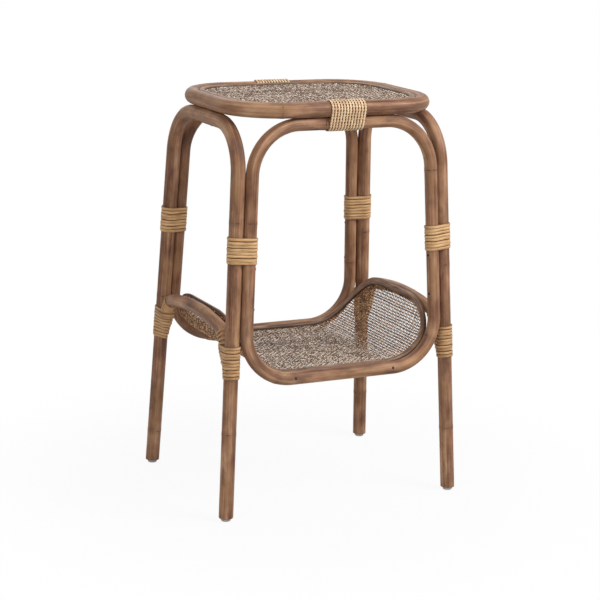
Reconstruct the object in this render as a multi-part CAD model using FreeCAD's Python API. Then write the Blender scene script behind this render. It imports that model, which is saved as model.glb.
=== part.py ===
import FreeCAD, Part
import math
import os

Vector = FreeCAD.Vector

# A rattan side table, in millimetres. The origin is on the floor under its middle, +X is its
# right side, -Y its front and +Z is up. Two bent leg frames stand left and right, a closed hoop
# is lashed to each pair of legs at the front and the back, the rim of a woven top lies on all
# four, and a woven shelf is slung between the hoops' bottom bars and two side rails.

# Stance
TABLE_HEIGHT = 680.0            # floor to the top of the rim
FOOT_SPREAD_X = 420.0           # between the leg axes at the floor, side to side
FOOT_SPREAD_Y = 329.0           # between the leg axes at the floor, front to back
TOP_SPREAD_X = 364.0            # between the axes of the two leg frames' top bars
TOP_SPREAD_Y = 264.0            # between the points where leg and top bar axes would cross

# Poles
LEG_DIAMETER = 24.0
LEG_BEND_RADIUS = 80.0
HOOP_DIAMETER = 21.5
HOOP_TOP_BEND_RADIUS = 83.0
HOOP_BOTTOM_BEND_RADIUS = 80.0
HOOP_BOTTOM_HEIGHT = 228.5      # floor to the axis of a hoop's bottom bar
HOOP_PROUD = 5.8                # how far a hoop's plane stands out from the legs' plane
RAIL_DIAMETER = 21.5
RAIL_RISE = 91.5                # from a hoop's bottom axis up to a rail's, at the crown of its arch
RAIL_ARCH_RADIUS = 520.0
RAIL_ARCH_ANGLE = 10.0          # slope of the arch at its ends, in degrees
RAIL_BEND_RADIUS = 32.0         # between the arch and the tails
RAIL_TIP_DIAMETER = 6.0         # the rail's whittled tail ends this thick
RAIL_TIP_RISE = 9.5             # from a hoop's bottom axis up to the end of a rail's tail
POLE_CLEARANCE = 0.25           # between poles that lie side by side

# Top
RIM_LENGTH = 358.0              # between the rim's axes, side to side
RIM_WIDTH = 283.4               # between the rim's axes, front to back
RIM_DIAMETER = 25.5
RIM_CORNER_RADIUS = 89.0
TOP_RING_DIAMETER = 12.0        # ring inside the rim, which carries the top's weave
WEAVE_THICKNESS = 1.6
WEAVE_EDGE_THICKNESS = 1.0      # the top's weave is pressed flat under its moulding
WEAVE_CLEARANCE = 0.2           # between the weave and the round poles under it
FIELD_CLEARANCE = 0.3           # between a moulding and the raised field of the top's weave
WEAVE_GAPS = 12                 # openings each way, in place of the many finer ones of the cane
WEAVE_GAP_SHARE = 0.43          # an opening's side, as a share of the distance between openings

# Half-round mouldings that cover the edges of the weave
TOP_MOULDING_WIDTH = 10.5
TOP_MOULDING_HEIGHT = 4.0
SHELF_MOULDING_WIDTH = 13.4
SHELF_MOULDING_HEIGHT = 6.6
SPLICE_GAP = 0.3                # between the two ends of a pole bent into a loop

# Shelf
SHELF_BEND_RADIUS = 96.0        # between the shelf's floor and its sloping ends
SHELF_END_ANGLE = 75.0          # slope of the ends, in degrees
SHELF_CORNER_RADIUS = 88.0      # of the moulding's middle, measured along the weave
SHELF_MOULDING_INSET = 17.7     # from a hoop's bottom axis in to the moulding's middle
SHELF_MOULDING_CLEARANCE = 0.4  # between the moulding and the weave that bends under it
SHELF_WEAVE_COVER = 3.6         # from the moulding's middle out to the weave's edge
BEARER_DIAMETER = 12.0          # poles inside the hoops' bottom bars, which carry the weave
BEARER_DROP = 4.0               # from a hoop's bottom axis down to a bearer's
BEARER_INSET = 17.2             # from a hoop's bottom axis in to a bearer's
BEARER_BEND = 16.0              # how far a bearer follows the shelf's bends, in degrees
BEND_STATIONS = 4               # sections in a bend before a corner begins
CORNER_STATIONS = 12            # sections round a corner

# Cane lashings
CANE_DIAMETER = 4.4
CANE_PITCH = 5.4
CORD_DIAMETER = 5.0             # twisted cord round the rim and the hoops' top bars
CORD_PITCH = 5.7
LASHING_CLEARANCE = 0.3         # between a lashing and the poles that it goes round
LASHING_ROOM = 0.6              # between a lashing and the ring and moulding beside it
MID_LASHING_HEIGHT = 446.0      # floor to the middle of a leg and hoop lashing
MID_LASHING_TURNS = 8
RAIL_LASHING_TURNS = 9
TOP_LASHING_TURNS = 12

# Fastenings
NAIL_DIAMETER = 2.6
NAIL_HEAD_DIAMETER = 5.0
NAIL_HEAD_THICKNESS = 1.2
NAIL_SET = 0.5                  # a head lies this far under the pole's surface
NAIL_BITE = 14.0                # how far a nail goes into the second pole
RING_NAIL_BITE = 6.0
HOOP_NAIL_HEIGHTS = (350.0, 416.0)  # nails from hoop to leg, below the lashing round them
RAIL_NAIL_RISE = 50.5           # from a hoop's bottom axis up to the nail in a rail's tail
BEARER_NAIL_X = 90.5
RIM_HOOP_NAIL_X = 28.0
RIM_LEG_NAIL_Y = 24.0
TOP_RING_NAIL_X = 62.0
TOP_RING_NAIL_Y = 40.0
BRAD_DIAMETER = 1.4
BRAD_HEAD_DIAMETER = 2.4
BRAD_HEAD_THICKNESS = 0.6
BRAD_SET = 0.3
TOP_BRAD_LENGTH = 11.0
SHELF_BRAD_LENGTH = 13.6
TOP_BRAD_X = (-84.0, -46.0, 46.0, 84.0)
TOP_BRAD_Y = (-22.0, 22.0)
SHELF_BRAD_X = (-66.0, -22.0, 22.0, 66.0)
SHELF_BRAD_Y = (-24.0, 24.0)
DOWEL_DIAMETER = 8.0
DOWEL_LENGTH = 44.0
GLIDE_DIAMETER = 16.0
GLIDE_HEIGHT = 5.0
GLIDE_EDGE_RADIUS = 1.5
GLIDE_NAIL_DIAMETER = 2.2
GLIDE_NAIL_HEAD_DIAMETER = 7.0
GLIDE_NAIL_HEAD_THICKNESS = 1.0
GLIDE_NAIL_FLOOR = 1.8          # plastic under the nail's head
GLIDE_NAIL_LENGTH = 26.0

SIDES = {"left": -1, "right": 1}
ENDS = {"front": -1, "back": 1}
CORNERS = [(end_name + "_" + side_name, side, end)
           for end_name, end in ENDS.items() for side_name, side in SIDES.items()]

# Worked-out sizes
leg_radius = LEG_DIAMETER / 2
hoop_radius = HOOP_DIAMETER / 2
rail_radius = RAIL_DIAMETER / 2
rim_radius = RIM_DIAMETER / 2
top_ring_radius = TOP_RING_DIAMETER / 2
bearer_radius = BEARER_DIAMETER / 2
rail_tip_radius = RAIL_TIP_DIAMETER / 2
rim_height = TABLE_HEIGHT - rim_radius
rail_height = HOOP_BOTTOM_HEIGHT + RAIL_RISE
rail_tip_height = HOOP_BOTTOM_HEIGHT + RAIL_TIP_RISE
leg_to_hoop = leg_radius + hoop_radius + POLE_CLEARANCE
leg_to_rail = leg_radius + rail_radius + POLE_CLEARANCE
rim_to_leg_bar = rim_radius + leg_radius + POLE_CLEARANCE
rim_to_hoop_bar = rim_radius + hoop_radius + POLE_CLEARANCE
top_ring_inset = rim_radius + top_ring_radius + POLE_CLEARANCE
top_bar_height = rim_height - math.sqrt(rim_to_leg_bar ** 2 - ((TOP_SPREAD_X - RIM_LENGTH) / 2) ** 2)


def across(direction, axis):
    """The unit vector square to an axis that leans most towards a direction."""
    return (direction - axis * direction.dot(axis)).normalize()


def unit(vector):
    return Vector(vector).normalize()


def disc(centre, normal, radius):
    return Part.Face(Part.Wire(Part.makeCircle(radius, centre, normal)))


def half_round(centre, along, up, width, height):
    """A moulding's section, its flat side centred on a point and facing away from up."""
    aside = along.cross(up) * (width / 2)
    crown = Part.Arc(centre - aside, centre + up * height, centre + aside).toShape()
    flat = Part.LineSegment(centre + aside, centre - aside).toShape()
    return Part.Face(Part.Wire([crown, flat]))


def steps_through(points, radii):
    """Straight runs through points, with a tangent bend of its own radius at each inner one."""
    steps = []
    start = points[0]
    for before, corner, after, radius in zip(points, points[1:], points[2:], radii):
        arriving = unit(corner - before)
        leaving = unit(after - corner)
        turn = arriving.getAngle(leaving)
        setback = radius * math.tan(turn / 2)
        axis = unit(arriving.cross(leaving))
        bend_start = corner - arriving * setback
        centre = bend_start + axis.cross(arriving) * radius
        steps.append(("run", bend_start - start))
        steps.append(("bend", centre, axis, math.degrees(turn)))
        start = corner + leaving * setback
    steps.append(("run", points[-1] - start))
    return steps


def sweep(section, steps):
    """One solid swept from a section's face along runs and bends."""
    solids = []
    for step in steps:
        if step[0] == "run":
            solids.append(section.extrude(step[1]))
            section = section.translated(step[1])
        else:
            centre, axis, degrees = step[1:]
            solids.append(section.revolve(centre, axis, degrees))
            section = section.rotated(centre, axis, degrees)
    return solids[0].multiFuse(solids[1:]).removeSplitter()


def pole_through(points, radii, pole_radius):
    return sweep(disc(points[0], unit(points[1] - points[0]), pole_radius), steps_through(points, radii))


def spliced(corners):
    """A loop's points from one side of its splice round to the other, the splice being in the
    middle of the run from the last corner to the first."""
    splice = (corners[0] + corners[-1]) / 2
    half_gap = unit(corners[0] - corners[-1]) * (SPLICE_GAP / 2)
    return [splice + half_gap] + corners + [splice - half_gap]


# Where the legs, hoops and rails run

def foot_point(side, end):
    return Vector(side * FOOT_SPREAD_X / 2, end * FOOT_SPREAD_Y / 2, 0)


def leg_corner(side, end):
    return Vector(side * TOP_SPREAD_X / 2, end * TOP_SPREAD_Y / 2, top_bar_height)


def leg_axis(side, end):
    return unit(leg_corner(side, end) - foot_point(side, end))


def beside_leg(side, end, offset, height):
    """The point at a height on the line that runs along a leg at an offset from its axis."""
    start = foot_point(side, end) + offset
    axis = leg_axis(side, end)
    return start + axis * ((height - start.z) / axis.z)


def hoop_offset(side, end):
    axis = leg_axis(side, end)
    outward = unit(Vector(0, end * axis.z, -end * axis.y))
    inward = across(Vector(-side, 0, 0), axis)
    return inward * math.sqrt(leg_to_hoop ** 2 - HOOP_PROUD ** 2) + outward * HOOP_PROUD


def hoop_point(side, end, height):
    return beside_leg(side, end, hoop_offset(side, end), height)


def hoop_bar_height():
    """Height of a hoop's top bar, which lies against the rim from below."""
    under_rim = hoop_point(1, 1, rim_height - rim_to_hoop_bar)
    return rim_height - math.sqrt(rim_to_hoop_bar ** 2 - (RIM_WIDTH / 2 - under_rim.y) ** 2)


def rail_inward(side, end):
    return across(Vector(0, -end, 0), leg_axis(side, end))


def rail_point(side, end, height):
    """The point at a height on the line of a rail's tail, beside its leg."""
    return beside_leg(side, end, rail_inward(side, end) * leg_to_rail, height)


def rail_crown(side):
    """The point over a rail's middle where the slopes of its arch would cross."""
    rise = RAIL_ARCH_RADIUS * (1 / math.cos(math.radians(RAIL_ARCH_ANGLE)) - 1)
    over = rail_point(side, 1, rail_height + rise)
    return Vector(over.x, 0, over.z)


def rail_shoulder(side, end):
    """The point where the slope of a rail's arch would cross the line of its tail."""
    crown = rail_crown(side)
    level = rail_point(side, end, crown.z)
    axis = leg_axis(side, end)
    fall = math.tan(math.radians(RAIL_ARCH_ANGLE))
    outward = abs(axis.y)
    way_down = abs(level.y) * fall / (math.sqrt(1 - outward ** 2) - outward * fall)
    return level - axis * way_down


def rail_tail_top(side, end):
    """The point where a rail's bend begins above its tail."""
    axis = leg_axis(side, end)
    shoulder = rail_shoulder(side, end)
    turn = axis.getAngle(rail_crown(side) - shoulder)
    return shoulder - axis * (RAIL_BEND_RADIUS * math.tan(turn / 2))


# The shelf's bent surface, by distance along its weave from the middle, place across and rise

end_angle = math.radians(SHELF_END_ANGLE)
weave_half = WEAVE_THICKNESS / 2
bearer_height = HOOP_BOTTOM_HEIGHT - BEARER_DROP
shelf_height = bearer_height + bearer_radius + WEAVE_CLEARANCE + weave_half
bar_y = hoop_point(1, 1, HOOP_BOTTOM_HEIGHT).y
rail_middle = Vector(rail_point(1, 1, rail_height).x, 0, rail_height)
up_slope = Vector(math.cos(end_angle), 0, math.sin(end_angle))
off_slope = Vector(-math.sin(end_angle), 0, math.cos(end_angle))
slope_off = rail_middle.dot(off_slope) + rail_radius + POLE_CLEARANCE + weave_half
fold_x = (shelf_height * math.cos(end_angle) - slope_off) / math.sin(end_angle)
shelf_flat = fold_x - SHELF_BEND_RADIUS * math.tan(end_angle / 2)
bend_end = shelf_flat + SHELF_BEND_RADIUS * end_angle
rail_reach = (rail_middle - Vector(fold_x, 0, shelf_height)).dot(up_slope)
shelf_end = bend_end + rail_reach - SHELF_BEND_RADIUS * math.tan(end_angle / 2)
shelf_half_width = bar_y - SHELF_MOULDING_INSET


def shelf_bend(along):
    """How far the shelf has bent up at a distance from its middle, in radians."""
    return min(max(abs(along) - shelf_flat, 0) / SHELF_BEND_RADIUS, end_angle)


def shelf_way(along):
    angle = math.copysign(shelf_bend(along), along)
    return Vector(math.cos(angle), 0, math.sin(angle))


def shelf_up(along):
    angle = math.copysign(shelf_bend(along), along)
    return Vector(-math.sin(angle), 0, math.cos(angle))


def on_shelf(along, place, rise):
    side = math.copysign(1, along)
    angle = shelf_bend(along)
    x = min(abs(along), shelf_flat) + SHELF_BEND_RADIUS * math.sin(angle)
    z = shelf_height + SHELF_BEND_RADIUS * (1 - math.cos(angle))
    past_bend = side * max(abs(along) - bend_end, 0)
    return Vector(side * x, place, z) + shelf_way(along) * past_bend + shelf_up(along) * rise


def shelf_stations(cover):
    """Distances along and half-widths at which the shelf's outline is laid out, from one side's
    bend to its end, for a cover outside the moulding's middle."""
    radius = SHELF_CORNER_RADIUS + cover
    corner_along = shelf_end - SHELF_CORNER_RADIUS
    corner_place = shelf_half_width - SHELF_CORNER_RADIUS
    stations = []
    for step in range(BEND_STATIONS):
        along = shelf_flat + (corner_along - shelf_flat) * step / BEND_STATIONS
        stations.append((along, corner_place + radius, 0.0))
    for step in range(CORNER_STATIONS + 1):
        turn = math.pi / 2 * step / CORNER_STATIONS
        along = corner_along + radius * math.sin(turn)
        stations.append((along, corner_place + radius * math.cos(turn), turn))
    return stations


def rim_loop(inset, height):
    """Corner points of a loop inside the rim, in the order back, left, front, right."""
    x = RIM_LENGTH / 2 - inset
    y = RIM_WIDTH / 2 - inset
    return [Vector(-x, y, height), Vector(-x, -y, height), Vector(x, -y, height), Vector(x, y, height)]


# Lashings

def biarc(start, start_way, finish, finish_way):
    """Two tangent arcs between two points, with given directions at both."""
    chord = finish - start
    ways = start_way + finish_way
    spread = 2 * (1 - start_way.dot(finish_way))
    pull = chord.dot(ways)
    reach = (math.sqrt(pull ** 2 + spread * chord.dot(chord)) - pull) / spread
    first_corner = start + start_way * reach
    second_corner = finish - finish_way * reach
    middle = (first_corner + second_corner) / 2
    return [arc_round(start, first_corner, middle), arc_round(middle, second_corner, finish)]


def arc_round(start, corner, finish):
    """The arc from start to finish whose end tangents cross at a corner."""
    turn = (corner - start).getAngle(finish - corner)
    share = math.cos(turn / 2) / (1 + math.cos(turn / 2))
    chord_middle = (start + finish) / 2
    crown = chord_middle + (corner - chord_middle) * share
    return Part.Arc(start, crown, finish).toShape()


def lashing(name, base, axis, towards, ends_face, first_radius, second_circle, wire, pitch, turns):
    """One unbroken strand wound round two poles, starting and ending between them.

    base is on the first pole's axis, level with the strand's start. towards points from the
    first pole to the second, ends_face to the side that the strand's ends lie on, and
    second_circle gives the second pole's distance and radius at a height over the base. Each
    turn goes round the second pole, back to the first and round that.
    """
    wire_off = LASHING_CLEARANCE + wire / 2
    near = first_radius + wire_off
    aside = axis.cross(towards)
    if aside.dot(ends_face) > 0:
        aside = aside * -1

    def lay(turn):
        """The six marks of a turn and the directions at its far sides."""
        distance, radius = second_circle(pitch * (turn + 0.25))
        next_distance, next_radius = second_circle(pitch * (turn + 1.25))
        far = radius + wire_off
        lean = math.acos((near - far) / distance)
        next_lean = math.acos((near - next_radius - wire_off) / next_distance)
        straight = math.sqrt(distance ** 2 - (near - far) ** 2)
        spans = [straight / 2, far * lean, far * lean, straight,
                 near * (math.pi - lean), near * (math.pi - next_lean)]
        girth = sum(spans) + straight / 2
        places = [(distance, far, -lean), (distance, far, 0), (distance, far, lean),
                  (0, near, lean), (0, near, math.pi), (0, near, -next_lean)]
        points = []
        travelled = 0
        for span, (centre, reach, angle) in zip(spans, places):
            travelled += span
            flat = towards * (centre + reach * math.cos(angle)) + aside * (reach * math.sin(angle))
            points.append(base + flat + axis * (pitch * (turn + travelled / girth)))
        climb = axis * (pitch / girth)
        return points, unit(aside + climb), unit(climb - aside)

    before = lay(-1)[0]
    first = lay(0)[0]
    here = (before[5] + first[0]) / 2
    path_start = here
    start_way = unit(first[0] - before[5])
    arriving = start_way
    edges = []
    for turn in range(turns):
        marks, far_way, near_way = lay(turn)
        following = lay(turn + 1)[0]
        crossing = unit(marks[3] - marks[2])
        leaving = unit(following[0] - marks[5])
        edges.append(Part.LineSegment(here, marks[0]).toShape())
        edges += biarc(marks[0], arriving, marks[1], far_way)
        edges += biarc(marks[1], far_way, marks[2], crossing)
        edges.append(Part.LineSegment(marks[2], marks[3]).toShape())
        edges += biarc(marks[3], crossing, marks[4], near_way)
        edges += biarc(marks[4], near_way, marks[5], leaving)
        here = marks[5]
        arriving = leaving
    edges.append(Part.LineSegment(here, (here + following[0]) / 2).toShape())
    path = Part.Wire(edges)
    section = Part.Wire(Part.makeCircle(wire / 2, path_start, start_way))
    strand = path.makePipeShell([section], True, False)
    report_strand(name, path, edges, wire, strand)
    return strand


def report_strand(name, path, edges, wire, strand):
    """Print a strand's least gap to itself, tightest bend and volume against length."""
    point_step = 1.5
    points = path.discretize(Distance=point_step)
    shortest_way_round = round(8 * wire / point_step)
    longest_way_round = round(60 * wire / point_step)
    closest = min(points[i].distanceToPoint(points[j])
                  for i in range(len(points))
                  for j in range(i + shortest_way_round, min(i + longest_way_round, len(points))))
    tightest = min(edge.Curve.Radius for edge in edges if hasattr(edge.Curve, "Radius"))
    share = strand.Volume / (math.pi * wire ** 2 / 4 * path.Length)
    print(f"{name}: gap to itself {closest - wire:.2f}, tightest bend {tightest:.2f}, "
          f"volume over section times length {share:.4f}, valid {strand.isValid()}")


def lashing_room(centre, other, radius, other_radius, wire, length):
    """The space that a lashing round two level poles takes up, as one solid along X."""
    taken = 2 * LASHING_CLEARANCE + wire + LASHING_ROOM
    towards = unit(other - centre)
    aside = towards.cross(Vector(1, 0, 0))
    distance = centre.distanceToPoint(other)
    near = radius + taken
    far = other_radius + taken
    lean = math.acos((near - far) / distance)

    def mark(middle, reach, angle):
        return middle + towards * (reach * math.cos(angle)) + aside * (reach * math.sin(angle))

    far_start = mark(other, far, -lean)
    far_finish = mark(other, far, lean)
    near_start = mark(centre, near, lean)
    near_finish = mark(centre, near, -lean)
    outline = [Part.Arc(far_start, mark(other, far, 0), far_finish).toShape(),
               Part.LineSegment(far_finish, near_start).toShape(),
               Part.Arc(near_start, mark(centre, near, math.pi), near_finish).toShape(),
               Part.LineSegment(near_finish, far_start).toShape()]
    start = Vector(-length / 2, 0, 0)
    return Part.Face(Part.Wire(outline)).translated(start).extrude(Vector(length, 0, 0))


# Fastenings

pieces = {}


def pin_solid(head_top, way, length, diameter, head_diameter, head_thickness):
    head = Part.makeCylinder(head_diameter / 2, head_thickness, head_top, way)
    return head.fuse(Part.makeCylinder(diameter / 2, length, head_top, way)).removeSplitter()


def drive(pin, head_top, way, head_diameter, names):
    """Cut a pin's hole, open above its head, in the pieces that it goes through."""
    mouth_depth = 2 * head_diameter
    mouth = Part.makeCylinder(head_diameter / 2, mouth_depth, head_top - way * mouth_depth, way)
    for name in names:
        pieces[name] = pieces[name].cut(pin).cut(mouth)
    return pin


def nail(start_axis, start_radius, finish_axis, finish_radius, bite, names):
    """A nail through a pole into the one beside it, from a point of each pole's axis."""
    way = unit(finish_axis - start_axis)
    head_top = start_axis - way * (start_radius - NAIL_SET)
    length = head_top.distanceToPoint(finish_axis) - finish_radius + bite
    pin = pin_solid(head_top, way, length, NAIL_DIAMETER, NAIL_HEAD_DIAMETER, NAIL_HEAD_THICKNESS)
    return drive(pin, head_top, way, NAIL_HEAD_DIAMETER, names)


def brad(crown, way, length, names):
    """A brad through a moulding and the weave under it, from the moulding's crown."""
    head_top = crown + way * BRAD_SET
    pin = pin_solid(head_top, way, length, BRAD_DIAMETER, BRAD_HEAD_DIAMETER, BRAD_HEAD_THICKNESS)
    return drive(pin, head_top, way, BRAD_HEAD_DIAMETER, names)


def splice_dowel(corners, names):
    """A dowel in the two ends of a looped pole, in the middle of its last run."""
    way = unit(corners[0] - corners[-1])
    start = (corners[0] + corners[-1]) / 2 - way * (DOWEL_LENGTH / 2)
    dowel = Part.makeCylinder(DOWEL_DIAMETER / 2, DOWEL_LENGTH, start, way)
    for name in names:
        pieces[name] = pieces[name].cut(dowel)
    return dowel


# Pieces

def leg_frame(side):
    """Two splayed legs and the bar between them, bent from one pole and cut off over the glides."""
    route = [foot_point(side, -1), leg_corner(side, -1), leg_corner(side, 1), foot_point(side, 1)]
    frame = pole_through(route, [LEG_BEND_RADIUS] * 2, leg_radius)
    floor_side = FOOT_SPREAD_X + FOOT_SPREAD_Y
    corner = Vector(-floor_side, -floor_side, GLIDE_HEIGHT - LEG_DIAMETER)
    return frame.cut(Part.makeBox(2 * floor_side, 2 * floor_side, LEG_DIAMETER, corner))


def hoop_corners(end):
    top = hoop_bar_height()
    return [hoop_point(1, end, top), hoop_point(1, end, HOOP_BOTTOM_HEIGHT),
            hoop_point(-1, end, HOOP_BOTTOM_HEIGHT), hoop_point(-1, end, top)]


def hoop(end):
    """A closed hoop, spliced in the middle of its top bar."""
    radii = [HOOP_TOP_BEND_RADIUS, HOOP_BOTTOM_BEND_RADIUS, HOOP_BOTTOM_BEND_RADIUS, HOOP_TOP_BEND_RADIUS]
    return pole_through(spliced(hoop_corners(end)), radii, hoop_radius)


def rail_tip(side, end):
    axis = leg_axis(side, end)
    offset = rail_inward(side, end) * (leg_radius + POLE_CLEARANCE + rail_tip_radius)
    return disc(beside_leg(side, end, offset, rail_tip_height), axis, rail_tip_radius)


def rail(side):
    """An arched rail bent down along both legs, its tails whittled to lie against them."""
    route = [rail_tail_top(side, -1), rail_shoulder(side, -1), rail_crown(side),
             rail_shoulder(side, 1), rail_tail_top(side, 1)]
    radii = [RAIL_BEND_RADIUS, RAIL_ARCH_RADIUS, RAIL_BEND_RADIUS]
    body = sweep(disc(route[0], leg_axis(side, -1), rail_radius), steps_through(route, radii)[1:-1])
    tails = []
    for end in ENDS.values():
        top = disc(rail_tail_top(side, end), leg_axis(side, end), rail_radius)
        tails.append(Part.makeLoft([top.OuterWire, rail_tip(side, end).OuterWire], True, True))
    return body.multiFuse(tails).removeSplitter()


def top_sheet(inset, bottom, thickness):
    corners = rim_loop(inset, bottom)
    radius = RIM_CORNER_RADIUS - inset
    start = (corners[0] + corners[-1]) / 2
    edges = []
    for before, corner, after in zip([corners[-1]] + corners, corners, corners[1:] + corners[:1]):
        arriving = unit(corner - before)
        leaving = unit(after - corner)
        bend_start = corner - arriving * radius
        edges.append(Part.LineSegment(start, bend_start).toShape())
        edges.append(arc_round(bend_start, corner, corner + leaving * radius))
        start = corner + leaving * radius
    edges.append(Part.LineSegment(start, (corners[0] + corners[-1]) / 2).toShape())
    return Part.Face(Part.Wire(edges)).extrude(Vector(0, 0, thickness))


def shelf_sheet():
    """The shelf's weave: a floor that bends up into two sloping ends with rounded corners."""
    right = shelf_stations(SHELF_WEAVE_COVER)
    left = [(-along, half_width, turn) for along, half_width, turn in reversed(right)]
    sections = []
    for along, half_width, turn in left + right:
        corners = [on_shelf(along, -half_width, weave_half), on_shelf(along, half_width, weave_half),
                   on_shelf(along, half_width, -weave_half), on_shelf(along, -half_width, -weave_half)]
        sections.append(Part.makePolygon(corners + corners[:1]))
    return Part.makeLoft(sections, True, True)


def opened(sheet, half_length, half_width, corner_radius, surface):
    """A sheet with a grid of openings inside a rounded outline. surface gives the point of the
    sheet's middle and the directions along and up at a distance along and a place across."""
    pitch = 2 * half_length / WEAVE_GAPS
    row_pitch = 2 * half_width / WEAVE_GAPS
    gap_length = pitch * WEAVE_GAP_SHARE
    gap_width = row_pitch * WEAVE_GAP_SHARE
    gaps = []
    for column in range(WEAVE_GAPS):
        along = (column + 0.5) * pitch - half_length
        past_length = max(abs(along) + gap_length / 2 - half_length + corner_radius, 0)
        for row in range(WEAVE_GAPS):
            place = (row + 0.5) * row_pitch - half_width
            past_width = max(abs(place) + gap_width / 2 - half_width + corner_radius, 0)
            if math.hypot(past_length, past_width) > corner_radius:
                continue
            middle, way, up = surface(along, place)
            reach = way * (gap_length / 2)
            side = up.cross(way) * (gap_width / 2)
            corners = [middle - reach - side, middle + reach - side,
                       middle + reach + side, middle - reach + side]
            mouth = Part.Face(Part.makePolygon(corners + corners[:1])).translated(up * -WEAVE_THICKNESS)
            gaps.append(mouth.extrude(up * (2 * WEAVE_THICKNESS)))
    return sheet.cut(Part.makeCompound(gaps))


def shelf_edging():
    """The moulding over the edge of the shelf's weave, spliced in the middle of its back run."""
    quarter = shelf_stations(0)
    rise = weave_half + SHELF_MOULDING_CLEARANCE
    back_right = quarter
    front_right = [(along, -place, math.pi - turn) for along, place, turn in reversed(quarter)]
    front_left = [(-along, -place, math.pi + turn) for along, place, turn in quarter]
    back_left = [(-along, place, -turn) for along, place, turn in reversed(quarter)]
    half_gap = SPLICE_GAP / 2
    loop = [(half_gap, shelf_half_width, 0)] + back_right + front_right[1:]
    loop += front_left + back_left[1:] + [(-half_gap, shelf_half_width, 0)]
    sections = []
    for along, place, turn in loop:
        heading = shelf_way(along) * math.cos(turn) - Vector(0, math.sin(turn), 0)
        section = half_round(on_shelf(along, place, rise), heading, shelf_up(along),
                             SHELF_MOULDING_WIDTH, SHELF_MOULDING_HEIGHT)
        sections.append(section.OuterWire)
    return Part.makeLoft(sections, True, True)


def shelf_bearer(end):
    """A pole under an edge of the shelf's weave, which follows it a little way up its bends."""
    bend = math.radians(BEARER_BEND)
    rise = bearer_height - shelf_height
    radius = SHELF_BEND_RADIUS - rise
    place = end * (bar_y - BEARER_INSET)
    tip = shelf_flat + SHELF_BEND_RADIUS * bend
    fold = Vector(shelf_flat + radius * math.tan(bend / 2), place, bearer_height)
    route = [on_shelf(-tip, place, rise), Vector(-fold.x, place, bearer_height),
             fold, on_shelf(tip, place, rise)]
    start = disc(route[0], shelf_way(-tip), bearer_radius)
    return sweep(start, steps_through(route, [radius] * 2)[1:-1])


def glide(side, end):
    base = Part.makeCylinder(GLIDE_DIAMETER / 2, GLIDE_HEIGHT, foot_on_glide(side, end))
    lower_edges = [edge for edge in base.Edges if edge.BoundBox.ZMax < GLIDE_HEIGHT / 2]
    return base.makeFillet(GLIDE_EDGE_RADIUS, lower_edges)


def foot_on_glide(side, end):
    """The floor point under the middle of a leg's cut end."""
    cut_middle = beside_leg(side, end, Vector(0, 0, 0), GLIDE_HEIGHT)
    return Vector(cut_middle.x, cut_middle.y, 0)


# Frame poles

for side_name, side in SIDES.items():
    pieces[side_name + "_leg_frame"] = leg_frame(side)
    pieces[side_name + "_shelf_rail"] = rail(side)
for end_name, end in ENDS.items():
    pieces[end_name + "_hoop"] = hoop(end)

# Top: rim, carrying ring, weave and moulding

rim_corners = rim_loop(0, rim_height)
pieces["top_rim"] = pole_through(spliced(rim_corners), [RIM_CORNER_RADIUS] * 4, rim_radius)

top_ring_corners = rim_loop(top_ring_inset, rim_height)
ring_order = top_ring_corners[3:] + top_ring_corners[:3]
pieces["top_weave_ring"] = pole_through(spliced(ring_order), [RIM_CORNER_RADIUS - top_ring_inset] * 4,
                                        top_ring_radius)

top_weave_bottom = rim_height + top_ring_radius + WEAVE_CLEARANCE
top_moulding_bottom = top_weave_bottom + WEAVE_EDGE_THICKNESS


def inset_clear_of_rim(height, clearance):
    """How far in from the rim's axis a thing at a height clears the rim's round section."""
    return math.sqrt((rim_radius + clearance) ** 2 - (height - rim_height) ** 2)


top_moulding_inset = inset_clear_of_rim(top_moulding_bottom, POLE_CLEARANCE) + TOP_MOULDING_WIDTH / 2
weave_edge_inset = inset_clear_of_rim(top_weave_bottom, 2 * POLE_CLEARANCE)
field_inset = top_moulding_inset + TOP_MOULDING_WIDTH / 2 + FIELD_CLEARANCE
moulding_corners = rim_loop(top_moulding_inset, top_moulding_bottom)
moulding_route = spliced(moulding_corners[3:] + moulding_corners[:3])
moulding_start = half_round(moulding_route[0], unit(moulding_route[1] - moulding_route[0]), Vector(0, 0, 1),
                            TOP_MOULDING_WIDTH, TOP_MOULDING_HEIGHT)
pieces["top_moulding"] = sweep(moulding_start, steps_through(
    moulding_route, [RIM_CORNER_RADIUS - top_moulding_inset] * 4))
top_weave_sheet = top_sheet(weave_edge_inset, top_weave_bottom, WEAVE_EDGE_THICKNESS).fuse(
    top_sheet(field_inset, top_weave_bottom, WEAVE_THICKNESS)).removeSplitter()


def on_top_weave(along, place):
    return Vector(along, place, top_weave_bottom + weave_half), Vector(1, 0, 0), Vector(0, 0, 1)


pieces["top_weave"] = opened(top_weave_sheet, RIM_LENGTH / 2 - field_inset, RIM_WIDTH / 2 - field_inset,
                             RIM_CORNER_RADIUS - field_inset, on_top_weave)

# Shelf: bearers, weave and moulding

for end_name, end in ENDS.items():
    pieces["shelf_" + end_name + "_bearer"] = shelf_bearer(end)
pieces["shelf_moulding"] = shelf_edging()


def on_shelf_weave(along, place):
    return on_shelf(along, place, 0), shelf_way(along), shelf_up(along)


moulding_half = SHELF_MOULDING_WIDTH / 2
pieces["shelf_weave"] = opened(shelf_sheet(), shelf_end - moulding_half, shelf_half_width - moulding_half,
                               SHELF_CORNER_RADIUS - moulding_half, on_shelf_weave)

# Lashings, with room for the top ones scooped out of what lies inside the rim

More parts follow.
